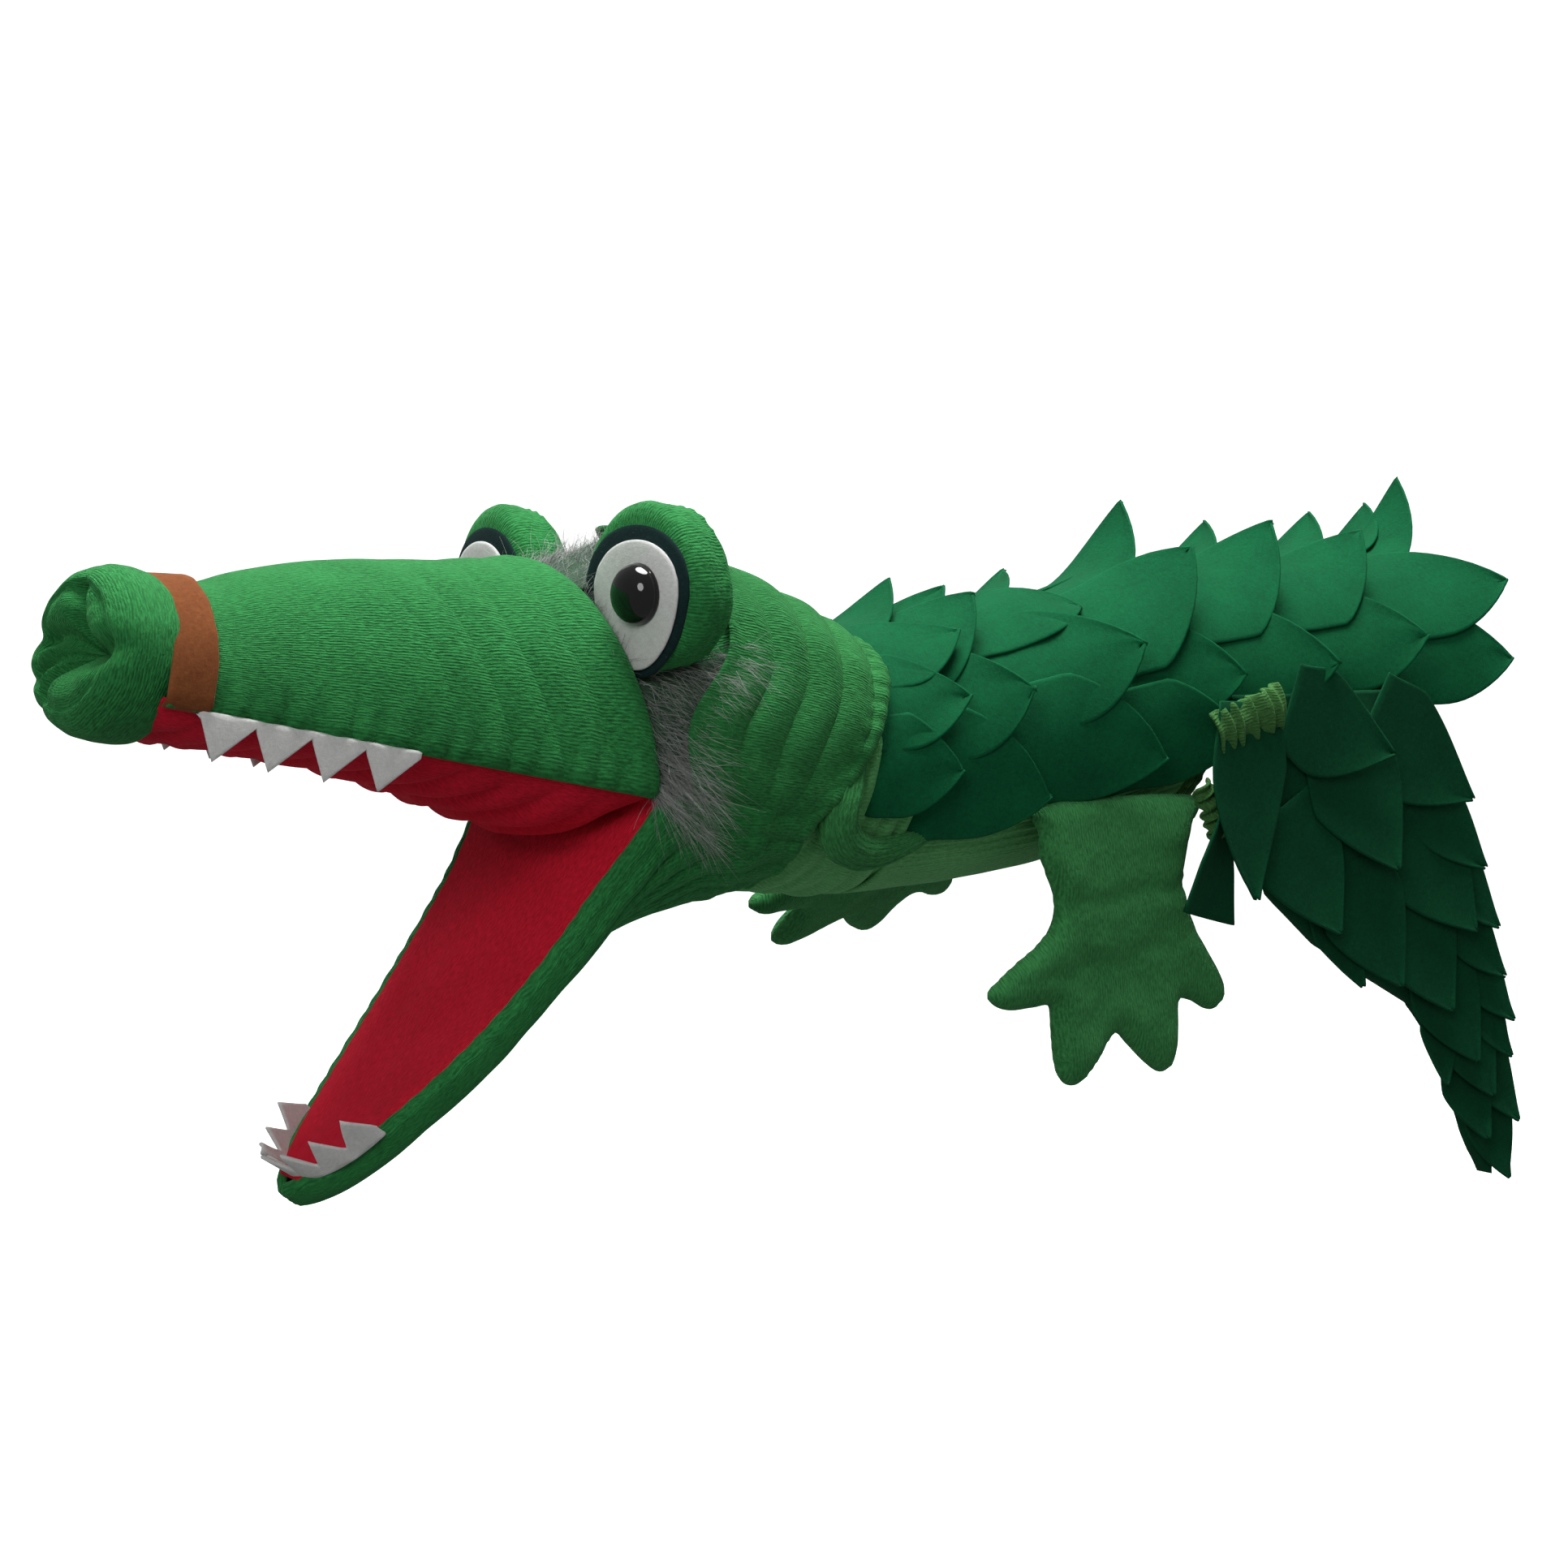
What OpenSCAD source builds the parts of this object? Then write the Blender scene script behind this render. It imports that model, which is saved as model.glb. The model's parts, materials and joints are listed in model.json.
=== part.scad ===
// Moving mouth hand puppet: a crocodile worn on the forearm.
// Origin: centre of the arm opening. -X is the way the nose points, +X runs back
// along the arm, +Z is up, and the puppet's own left side is -Y.

/* [Sleeve] */
// Half the width of the sleeve at the arm opening
sleeve_half_w = 42; // [38:1:46]
// Height of the sleeve above its middle line
sleeve_up = 41; // [38:1:44]
// Depth of the sleeve below its middle line
sleeve_down = 46; // [42:1:50]
// Distance from the arm opening forward to the neck end of the sleeve
sleeve_len = 126; // [122:1:130]
// Length of the back panel that arches over the arm behind the opening
saddle_len = 122; // [100:1:130]
// Thickness of velour and lining cloth
cloth = 2; // [1.5:0.1:2.5]

/* [Mouth] */
// Hinge line of both jaws, distance in front of the arm opening
hinge_x = -232; // [-236:1:-228]
// Height of the hinge line
hinge_z = -19; // [-22:1:-16]
// Angle of the upper jaw above level
upper_angle = 12; // [8:1:14]
// Angle of the lower jaw below level
lower_angle = 47.5; // [44:0.5:52]
// Half the width of the snout at the hinge
snout_w = 49; // [45:1:52]
// Height of the snout at the hinge
snout_h = 72; // [66:1:76]
// Length of the upper jaw from hinge to nose pinch
snout_len = 154; // [150:1:158]
// Length of the lower jaw from hinge to tip
chin_len = 148; // [140:1:150]

/* [Eyes] */
// Distance of each eye from the middle line
eye_y = 43; // [40:1:46]
// Height of the eye beads
eye_z = 42; // [38:1:46]
// Radius of a domed eye bead
bead_r = 9; // [8:0.5:10]

/* [Scales] */
// Thickness of the felt
felt = 1.2; // [1:0.1:1.6]
// Length of a scale on the back
scale_len = 56; // [48:1:58]
// Distance from one row of scales to the next
row_pitch = 47; // [44:1:48]
// Angle at which scales stand off the cloth
scale_lift = 9; // [9:1:13]

/* [Feet] */
// Thickness of a stuffed foot
foot_t = 10; // [8:1:12]
// Outward swing of the puppet's right foot at rest
right_foot_swing = 50; // [0:5:60]

/* [Hidden] */

velour = "forestgreen";
felt_green = "darkgreen";
red = "crimson";
N = 24;
gap = 0.2;

// ---- general surfaces -------------------------------------------------------
function mix(a, b, u) = a + (b - a) * u;
function spow(v, p) = sign(v) * pow(abs(v), p);
// smooth value read from a list of [position, value] pairs
function along(tab, x, i = 0) =
  x <= tab[0][0] ? tab[0][1] :
  i >= len(tab) - 1 ? tab[len(tab) - 1][1] :
  x <= tab[i + 1][0]
    ? mix(tab[i][1], tab[i + 1][1], (x - tab[i][0]) / (tab[i + 1][0] - tab[i][0]))
    : along(tab, x, i + 1);

// closed solid between two grids of points; wrap joins the last column to the first
module thick(outer, inner, wrap = false) {
  rows = len(outer);
  cols = len(outer[0]);
  last = wrap ? cols : cols - 1;
  function id(side, i, j) = side * rows * cols + i * cols + (j % cols);
  function quad(a, b, c, d) = [[a, b, c], [a, c, d]];
  pts = [for (g = [outer, inner]) for (r = g) for (p = r) p];
  faces = concat(
    [for (i = [0:rows - 2]) for (j = [0:last - 1])
      for (f = quad(id(0, i, j), id(0, i, j + 1), id(0, i + 1, j + 1), id(0, i + 1, j))) f],
    [for (i = [0:rows - 2]) for (j = [0:last - 1])
      for (f = quad(id(1, i + 1, j), id(1, i + 1, j + 1), id(1, i, j + 1), id(1, i, j))) f],
    [for (j = [0:last - 1])
      for (f = quad(id(1, 0, j), id(1, 0, j + 1), id(0, 0, j + 1), id(0, 0, j))) f],
    [for (j = [0:last - 1])
      for (f = quad(id(0, rows - 1, j), id(0, rows - 1, j + 1),
                    id(1, rows - 1, j + 1), id(1, rows - 1, j))) f],
    wrap ? [] : [for (i = [0:rows - 2])
      for (f = quad(id(1, i + 1, 0), id(1, i, 0), id(0, i, 0), id(0, i + 1, 0))) f],
    wrap ? [] : [for (i = [0:rows - 2])
      for (f = quad(id(0, i + 1, cols - 1), id(0, i, cols - 1),
                    id(1, i, cols - 1), id(1, i + 1, cols - 1))) f]);
  polyhedron(pts, faces, convexity = 8);
}

// closed loft through rings, each end drawn together to a point
module loft(rings, start, end) {
  rows = len(rings);
  cols = len(rings[0]);
  pts = concat([for (r = rings) for (p = r) p], [start, end]);
  s = rows * cols;
  faces = concat(
    [for (i = [0:rows - 2]) for (j = [0:cols - 1])
      for (f = [[i * cols + j, i * cols + (j + 1) % cols, (i + 1) * cols + (j + 1) % cols],
                [i * cols + j, (i + 1) * cols + (j + 1) % cols, (i + 1) * cols + j]]) f],
    [for (j = [0:cols - 1]) [s, (j + 1) % cols, j]],
    [for (j = [0:cols - 1]) [s + 1, s - cols + j, s - cols + (j + 1) % cols]]);
  polyhedron(pts, faces, convexity = 6);
}

module mirror_side(side) {
  if (side < 0) children();
  else mirror([0, 1, 0]) children();
}

// ---- sleeve -----------------------------------------------------------------
sleeve_xs = [4, -20, -50, -80, -105, -sleeve_len];
function sleeve_z(x) = along([[-sleeve_len, -15], [-100, -13], [-50, -7], [0, 0], [150, 4]], x);
function sleeve_lean(x) = along([[-sleeve_len, 5], [-60, -4], [0, 0]], x);
function sleeve_w(x) = along([[-sleeve_len, -2], [-90, 0], [200, 0]], x) + sleeve_half_w;
function sleeve_hu(x) = along([[-sleeve_len, -1], [-50, 0], [0, 1], [120, 3]], x) + sleeve_up;
function sleeve_hd(x) = along([[-sleeve_len, -1], [-90, 1], [-50, 1], [0, -2]], x) + sleeve_down;
function sleeve_point(x, a, off) =
  let (h = (sin(a) > 0 ? sleeve_hu(x) : sleeve_hd(x)) + off,
       v = h * sin(a), t = sleeve_lean(x))
  [x + v * sin(t), (sleeve_w(x) + off) * cos(a), sleeve_z(x) + v * cos(t)];
function sleeve_grid(xs, a0, a1, off, n = 18) =
  [for (x = xs) [for (k = [0:n]) sleeve_point(x, mix(a0, a1, k / n), off)]];
seam_a = 32;

module belly_panel() {
  color(velour)
    thick(sleeve_grid(sleeve_xs, 180 + seam_a, 360 - seam_a, 0),
          sleeve_grid(sleeve_xs, 180 + seam_a, 360 - seam_a, -cloth));
}

module back_panel() {
  color(velour)
    thick(sleeve_grid(sleeve_xs, -seam_a + 0.4, 179.6 + seam_a, 0),
          sleeve_grid(sleeve_xs, -seam_a + 0.4, 179.6 + seam_a, -cloth));
}

saddle_xs = [for (k = [0:5]) mix(4.5, saddle_len, k / 5)];
module saddle_panel() {
  color(felt_green)
    thick(sleeve_grid(saddle_xs, 0, 200, 0), sleeve_grid(saddle_xs, 0, 200, -1.6));
}

module saddle_lining() {
  color("limegreen")
    thick(sleeve_grid(saddle_xs, 2, 198, -1.8), sleeve_grid(saddle_xs, 2, 198, -3.4));
}

module opening_hem() {
  hem_xs = [4.3, 6.2, 8];
  color("limegreen")
    thick(sleeve_grid(hem_xs, 204, 336, 1), sleeve_grid(hem_xs, 204, 336, -3));
}

// a leaf shaped scale lying along +X, base at the origin
module leaf(l, w) {
  bend = 0.62;
  half = [for (k = [1:5]) let (u = k / 6) [mix(bend * l, l, u), w / 2 * pow(cos(90 * u), 0.8)]];
  linear_extrude(felt)
    polygon(concat([[0, w / 2]], [[bend * l, w / 2]], half, [[l, 0]],
                   [for (k = [4:-1:0]) [half[k][0], -half[k][1]]],
                   [[bend * l, -w / 2]], [[0, -w / 2]]));
}

row_a = 36;
scale_w = 27;
// slope of the top of the back along +X, in degrees
function rise(x) = along([[-sleeve_len, 4.4], [-100, 6], [-50, 8], [-10, 7], [10, 3]], x);
function row_x(i) = -sleeve_len + 5 + (i - 1) * row_pitch;
function scale_angles(i) =
  let (n = i % 2 == 0 ? 5 : 4)
  [for (k = [0:n]) 90 + row_a * (k - n / 2)];
// one row of scales round the back; rows over the saddle keep to its arch
module scale_row(i) {
  x = row_x(i);
  low = x > -5 ? 5 : -5;
  color(felt_green)
    for (a = scale_angles(i))
      if (a > low && a < 180 - low)
        translate(sleeve_point(x, a, 0.4))
          rotate([a - 90, 0, 0])
            rotate([0, -scale_lift - rise(x) * max(sin(a), 0), 0])
              leaf(scale_len, scale_w);
}
module scale_row_1() { scale_row(1); }
module scale_row_2() { scale_row(2); }
module scale_row_3() { scale_row(3); }
module scale_row_4() { scale_row(4); }
module scale_row_5() { scale_row(5); }
module scale_row_6() { scale_row(6); }

// ---- neck -------------------------------------------------------------------
neck_stations = [[-120, -14, 4], [-138, -15, 14], [-155, -16, 26], [-172, -17, 33]];
function neck_ring(s, off) =
  [for (j = [0:N - 1]) let (a = 360 * j / N, v = (32.4 + off) * sin(a))
    [s[0] + v * sin(s[2]), (34.4 + off) * cos(a), s[1] + v * cos(s[2])]];
module neck_cloth() {
  color(velour)
    thick([for (s = neck_stations) neck_ring(s, 0)],
          [for (s = neck_stations) neck_ring(s, -cloth)], wrap = true);
}

// ---- head -------------------------------------------------------------------
hood_front = [-226, -2];
hood_rear = [-160, -14];
hood_rear_lean = 33;
function hood_point(a, u, off) =
  let (c = spow(cos(a), 0.85), s = spow(sin(a), 0.85),
       up = max(s, 0), dn = max(-s, 0),
       brow = s > 0 ? 18 * (1 - pow(cos(2 * a), 6)) : 0,
       fx = hood_front[0] + 6 * up * up + 24 * dn * dn + brow,
       fz = hood_front[1] + (s > 0 ? 56 + off : 55 + off) * s,
       v = (s > 0 ? 46 : 49) * s + off * s,
       rx = hood_rear[0] + v * sin(hood_rear_lean),
       rz = hood_rear[1] + v * cos(hood_rear_lean),
       swell = sin(180 * u))
  [mix(fx, rx, u) + 2 * swell * up,
   (mix(51, 50, u) + off + 4 * swell) * c,
   mix(fz, rz, u) + swell * (11 * up - dn)];
function hood_grid(off) =
  [for (k = [0:6]) [for (j = [0:N - 1]) hood_point(360 * j / N, k / 6, off)]];
module head_hood() {
  color(velour) thick(hood_grid(0), hood_grid(-cloth), wrap = true);
}
module mouth_fold() {
  color(red)
    translate([hinge_x, 0, hinge_z]) rotate([90, 0, 0])
      cylinder(h = 2 * (snout_w - 5), r = 2.4, center = true, $fn = 32);
}

// eye parts share one place on each side, looking forward and a little outward
eye_x = -234;
eye_turn = 13;
module eye_place(side) {
  mirror_side(side)
    translate([eye_x, -eye_y, eye_z]) rotate([0, 0, eye_turn]) rotate([0, -90, 0])
      children();
}
// local frame of an eye: x up, y sideways, z forward out of the patch
module eye_patch(w, h, drop) {
  linear_extrude(felt)
    polygon([for (k = [0:35]) let (t = 10 * k)
      [h * sin(t) * (t > 180 ? 0.73 : 1) - drop, w * cos(t) * (1 + 0.22 * sin(t))]]);
}
module eye_outline(side) {
  color("darkslategray") eye_place(side) difference() {
    eye_patch(18, 20.5, -0.5);
    translate([0, 0, -1]) cylinder(h = 4, r = 2.7, $fn = 32);
  }
}
module eye_white(side) {
  color("white") eye_place(side) translate([0, 0, felt + 0.05]) difference() {
    eye_patch(13.5, 15.5, -0.5);
    translate([0, 0, -1]) cylinder(h = 4, r = 2.7, $fn = 32);
  }
}
module eye_bead(side) {
  dome_h = 6.5;
  stem_r = 2.5;
  color("black") eye_place(side) translate([0, 0, 2 * felt + 0.1]) {
    rotate_extrude($fn = 64)
      polygon(concat([[0, 0]], [for (k = [0:9]) [bead_r * cos(10 * k), 0.8 + dome_h * sin(10 * k)]],
                     [[0, dome_h + 0.8]]));
    translate([0, 0, -14]) cylinder(h = 14.5, r = stem_r, $fn = 32);
  }
}
module eye_washer(side) {
  color("dimgray") eye_place(side) translate([0, 0, -8]) difference() {
    cylinder(h = 1.6, r = 7.5, $fn = 48);
    translate([0, 0, -1]) cylinder(h = 4, r = 2.55, $fn = 32);
  }
}
// a stuffed eyelid: rounded body behind the patch, sewn to the front of the hood
// [depth behind the patch, size]
lid_depths = [[0.2, 0.93], [4, 1.02], [11, 1.04], [17, 0.94], [21, 0.76], [23.5, 0.4]];
function lid_ring(q) =
  [for (j = [0:N - 1]) let (t = -360 * j / N)
    [2 + (sin(t) > 0 ? 26.5 : 17) * q[1] * sin(t), 22.5 * q[1] * cos(t), -q[0]]];
module eyelid(side) {
  color(velour) eye_place(side) difference() {
    loft([for (q = lid_depths) lid_ring(q)], [2, 0, -0.2], [2, 0, -24]);
    translate([0, 0, -14]) cylinder(h = 16, r = 8, $fn = 48);
  }
}

// ---- upper jaw: s runs forward from the hinge, n up from the mouth plane ----------
function up_point(s, y, n) =
  [hinge_x - s * cos(upper_angle) + n * sin(upper_angle), y,
   hinge_z + s * sin(upper_angle) + n * cos(upper_angle)];
function up_w(s) = snout_w - 19 * pow(max(s, 0) / 140, 1.15);
function up_h(s) = snout_h - 0.228 * s;
lip_n = 1.2;
function snout_arc(s, off, a, lip = lip_n) =
  [(up_w(s) + off) * cos(a), lip + (up_h(s) - lip_n + off) * spow(sin(a), 0.9)];
function snout_back(a) = 2 + 29 * pow(sin(a), 0.9);
module snout_shell() {
  stations = 9;
  function grid(off) = [for (i = [0:stations]) [for (k = [0:20])
    let (a = 180 - 9 * k, s = mix(snout_back(a), snout_len - 1, i / stations),
         p = snout_arc(s, off, a))
    up_point(s, p[0], p[1])]];
  color(velour) thick(grid(0), grid(-cloth));
}

module snout_strap() {
  ss = [142, 148, 153];
  function grid(off) = [for (s = ss) [for (k = [0:20])
    let (a = 180 - 9 * k, p = snout_arc(s, off, a)) up_point(s, p[0], p[1])]];
  color("saddlebrown") thick(grid(0.15 + felt + 0.4), grid(0.15));
}

module nose_bulb() {
  // [s, size], drawn in to the pinch at the front
  st = [[153.4, 0.9], [157, 0.98], [162, 1], [167, 0.93], [170, 0.78], [170.5, 0.55], [167, 0.28]];
  nose_n = 15;
  color(velour)
    loft([for (q = st) [for (j = [0:N - 1])
           let (a = 360 * j / N, pinch = 1 - 0.06 * cos(4 * a))
           up_point(q[0], -31 * q[1] * cos(a) * pinch, nose_n + 24.5 * q[1] * sin(a) * pinch)]],
         up_point(153.4, 0, nose_n), up_point(160, 0, nose_n));
}

function palate_w(s) = up_w(s) - 1;
module palate_lining() {
  ss = [4, 20, 40, 60, 80, 100, 120, 138, 151];
  function grid(top) = [for (s = ss) [for (k = [-4:4])
    let (q = k / 4, sag = min(3.6, 0.1 * s) * (1 - 0.8 * q * q))
    up_point(s, palate_w(s) * q, top ? lip_n - gap : lip_n - gap - 1.4 - sag)]];
  color(red) thick(grid(false), grid(true));
}

module flat_board(ss, w_of, place, n0, n1) {
  function grid(n) = [for (s = ss) [for (q = [-1, 0, 1]) place(s, w_of(s) * q, n)]];
  thick(grid(n0), grid(n1));
}
module upper_mouth_board() {
  ss = [8, 30, 55, 80, 105, 125, 136];
  board_edge = function(s) up_w(s) - 6;
  color("tan")
    flat_board(ss, board_edge, function(s, y, n) up_point(s, y, n), lip_n, lip_n + 2);
}

pocket_len = 95;
pocket_n = 3.6;
function pocket_arc(s, off, a) =
  [(along([[10, 32], [pocket_len, 24]], s) + off) * cos(a),
   pocket_n + (along([[10, 27], [pocket_len, 20]], s) + off) * sin(a)];
module finger_pocket() {
  function grid(off) = [for (s = [10, 40, 70, pocket_len]) [for (k = [0:12])
    let (p = pocket_arc(s, off, 180 - 15 * k)) up_point(s, p[0], p[1])]];
  color("khaki") thick(grid(0), grid(-1.4));
}

module snout_filling() {
  back = [26, 50, 75, pocket_len];
  function outer(s) = [for (k = [0:12])
    let (p = snout_arc(s, -cloth - 1.5, 180 - 15 * k, pocket_n))
    up_point(s, p[0], max(pocket_n, p[1] - pocket_n))];
  function inner(s) = [for (k = [0:12])
    let (p = pocket_arc(s, 0.4, 180 - 15 * k)) up_point(s, p[0], p[1])];
  front = [pocket_len + 1, 120, 140, 150];
  function solid_ring(s) = concat(outer(s),
    [for (k = [1:11]) let (y = (up_w(s) - cloth - 1.5) * (1 - k / 6)) up_point(s, y, pocket_n - 0.1)]);
  color("ivory") {
    thick([for (s = back) outer(s)], [for (s = back) inner(s)]);
    loft([for (s = front) solid_ring(s)],
         up_point(front[0], 0, 25), up_point(front[3], 0, 20));
  }
}

// strip of pointed teeth along the lip; tips lean towards the nose
module upper_teeth(side) {
  tooth = 16;
  s0 = 80;
  drop = [for (k = [0:8]) k % 2 == 0 ? 3 : 12];
  function grid(off) = [for (k = [0:8]) let (s = s0 + k * tooth / 2, y = up_w(s) + off)
    [up_point(s, side * y, lip_n - gap), up_point(s + (k % 2) * 2, side * y, -drop[k])]];
  color("white")
    if (side > 0) thick(grid(0.1), grid(0.1 + felt)); else thick(grid(0.1 + felt), grid(0.1));
}

// ---- lower jaw: s runs from the hinge to the tip, n towards the upper jaw ---------
function low_point(s, y, n) =
  [hinge_x - s * cos(lower_angle) - n * sin(lower_angle), y,
   hinge_z - s * sin(lower_angle) + n * cos(lower_angle)];
function low_w(s) = 48 * pow(1 - pow(s / chin_len, 1.9), 0.6);
function low_bow(s) = -6 * sin(180 * s / chin_len);
function chin_t(s) = (13 + 22 * exp(-s / 30)) * pow(1 - pow(s / (chin_len + 2), 12), 0.5);
module lower_board(ss, inset, n0, n1) {
  function grid(n) = [for (s = ss) [for (q = [-1, 0, 1])
    low_point(s, (low_w(s) - inset) * q, low_bow(s) + n)]];
  thick(grid(n1), grid(n0));
}
module mouth_lining_lower() {
  color(red) lower_board([4, 20, 40, 60, 80, 100, 120, 132, 140, 144], 0.6, -2, 0);
}
module lower_mouth_board() {
  color("tan") lower_board([8, 30, 55, 80, 105, 125, 134], 6, -4.2, -2.2);
}
chin_ss = [11, 25, 45, 65, 85, 105, 122, 134, 142, 146];
function chin_arc(s, off, a) =
  [(low_w(s) + off) * cos(a), low_bow(s) - 2.2 - (chin_t(s) + off) * spow(sin(a), 0.8)];
module chin_shell() {
  function grid(off) = [for (s = chin_ss) [for (k = [0:16])
    let (p = chin_arc(s, off, 180 * k / 16)) low_point(s, p[0], p[1])]];
  color(velour) thick(grid(-cloth), grid(0));
}
thumb_len = 58;
function thumb_arc(s, off, a) =
  [(17 + off) * cos(a), low_bow(s) - 4.5 - (chin_t(s) - 6 + off) * sin(a)];
module thumb_pocket() {
  function grid(off) = [for (s = [14, 30, 45, thumb_len]) [for (k = [0:12])
    let (p = thumb_arc(s, off, 15 * k)) low_point(s, p[0], p[1])]];
  color("khaki") thick(grid(-1.2), grid(0));
}
module chin_filling() {
  ss = [thumb_len + 2, 85, 110, 130];
  function ring(s) = concat(
    [for (k = [0:12]) let (p = chin_arc(s, -cloth - 1.5, 15 * k))
      low_point(s, p[0], min(p[1], low_bow(s) - 4.6))],
    [for (k = [1:11]) low_point(s, (low_w(s) - cloth - 1.5) * (-1 + k / 6), low_bow(s) - 4.5)]);
  color("ivory")
    loft([for (k = [3:-1:0]) ring(ss[k])],
         low_point(ss[3], 0, low_bow(ss[3]) - 8), low_point(ss[0], 0, low_bow(ss[0]) - 9));
}
module lower_teeth() {
  n = 14;
  function rim(b, off) = [117 + (29 + off) * cos(b), (25.5 + off) * sin(b)];
  function grid(off) = [for (k = [0:n]) let (b = -78 + 156 * k / n, p = rim(b, off),
      tip = rim(b, off + (k % 2) * 3), base = low_bow(p[0]))
    [low_point(p[0], p[1], base - 1), low_point(tip[0], tip[1], base + (k % 2 == 0 ? 3 : 12))]];
  color("white") thick(grid(1.6), grid(1.6 + felt));
}

// ---- fur between snout and face -----------------------------------------------------
// [first angle, last angle] of the cheek, forehead and cheek pieces
fur_arcs = [[-18, 9], [74, 106], [171, 198]];
module fur_piece(a0, a1) {
  function grid(off) = [for (x = [-4, 2]) [for (k = [0:6])
    let (a = mix(a0, a1, k / 6), p = hood_point(a, 0, off))
    [p[0] + x, p[1], p[2]]]];
  thick(grid(4), grid(0.5));
}
module fur_trim() {
  color("gray") for (q = fur_arcs) fur_piece(q[0], q[1]);
}

// ---- feet: flat stuffed paddles hung from the side seams -------------------------------
foot_hinge = [-41, -43, -31];
foot_slope = 7;
// one toe pointing along the given angle, 270 is straight down
module toe(from, angle, l, r) {
  translate(from) rotate(angle) {
    translate([0, -r * 1.2]) square([l, 2.4 * r]);
    translate([l, 0]) circle(r = 1.2 * r, $fn = 32);
  }
}
module foot_outline() {
  polygon([[-35, -1], [34, -1], [31, -24], [33, -38], [43, -52], [32, -76], [-30, -76],
           [-41, -56], [-30, -42], [-27, -26]]);
  toe([-34, -56], 195, 17, 4.5);
  toe([-17, -70], 262, 20, 5.5);
  toe([18, -70], 283, 20, 5.5);
  toe([36, -58], 325, 15, 4.5);
}
module foot(side, swing) {
  color(velour) mirror_side(side)
    translate(foot_hinge) rotate([0, -foot_slope, 0]) rotate([-swing, 0, 0])
      translate([0, foot_t / 2, 0]) rotate([90, 0, 0])
        linear_extrude(foot_t) foot_outline();
}

// ---- tail: three flat stuffed lengths, each ending thin at its seams --------------------
tail_y = -48;
// edges of the tail down its length: [z, left x, right x]
tail_edges = [[-5, 10, 118], [-40, 24, 130], [-67, 42, 142], [-95, 72, 153],
              [-119, 106, 161], [-145, 122, 168], [-170, 142, 171], [-187, 160, 169]];
function tail_left(z) = along([for (k = [7:-1:0]) [tail_edges[k][0], tail_edges[k][1]]], z);
function tail_right(z) = along([for (k = [7:-1:0]) [tail_edges[k][0], tail_edges[k][2]]], z);
module tail_length(z0, z1, t) {
  rows = 6;
  function grid(side) = [for (i = [0:rows]) let (u = i / rows, z = mix(z0, z1, u))
    [for (k = [0:8]) let (q = k / 8,
      h = 1 + t * pow(sin(180 * u), 0.6) * pow(sin(180 * q), 0.6))
      [mix(tail_left(z), tail_right(z), q), tail_y + side * h, z]]];
  thick(grid(-1), grid(1));
}
module tail_base() { color(velour) tail_length(-5, -66, 6); }
module tail_middle() { color(velour) tail_length(-68, -118, 6); }
module tail_tip() { color(velour) tail_length(-120, -187, 5); }

// rows of scales down the outer face of one length: [z, count, leaf length]
module tail_rows(rows) {
  color(felt_green)
    for (q = rows) {
      l = tail_left(q[0]) + 2;
      w = (tail_right(q[0]) - 2 - l) / q[1];
      lean = atan2(tail_left(q[0] - 20) + tail_right(q[0] - 20)
                   - tail_left(q[0]) - tail_right(q[0]), 40);
      for (k = [0:q[1] - 1])
        translate([l + w * (k + 0.5), tail_y - 8.2, q[0]])
          rotate([90, 0, 0]) rotate([0, 0, -90 + min(lean, 35)]) rotate([0, -scale_lift, 0])
            leaf(q[2], w * 0.8);
    }
}
module tail_scales_base() { tail_rows([[-8, 3, 38], [-30, 3, 36]]); }
module tail_scales_middle() { tail_rows([[-70, 3, 27], [-88, 3, 28]]); }
module tail_scales_tip() { tail_rows([[-122, 2, 22], [-140, 2, 22], [-158, 1, 22]]); }

belly_panel();
back_panel();
saddle_panel();
saddle_lining();
opening_hem();
scale_row_1();
scale_row_2();
scale_row_3();
scale_row_4();
scale_row_5();
scale_row_6();
neck_cloth();
head_hood();
fur_trim();
mouth_fold();
eyelid(-1);  // eyelid_left
eyelid(1);  // eyelid_right
eye_outline(-1);  // eye_outline_left
eye_outline(1);  // eye_outline_right
eye_white(-1);  // eye_white_left
eye_white(1);  // eye_white_right
eye_bead(-1);  // eye_bead_left
eye_bead(1);  // eye_bead_right
eye_washer(-1);  // eye_washer_left
eye_washer(1);  // eye_washer_right
snout_shell();
snout_filling();
finger_pocket();
upper_mouth_board();
palate_lining();
snout_strap();
nose_bulb();
upper_teeth(-1);  // upper_teeth_left
upper_teeth(1);  // upper_teeth_right
chin_shell();
chin_filling();
thumb_pocket();
lower_mouth_board();
mouth_lining_lower();
lower_teeth();
foot(-1, 0);  // foot_left
foot(1, right_foot_swing);  // foot_right
tail_base();
tail_middle();
tail_tip();
tail_scales_base();
tail_scales_middle();
tail_scales_tip();
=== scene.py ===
"""Looks of a crocodile hand puppet: knitted velour, felt scales, fur and glossy eyes.

Shapes are worked out in millimetres on the surfaces of the CAD frame and stored in metres.
"""

import json
import math

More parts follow.
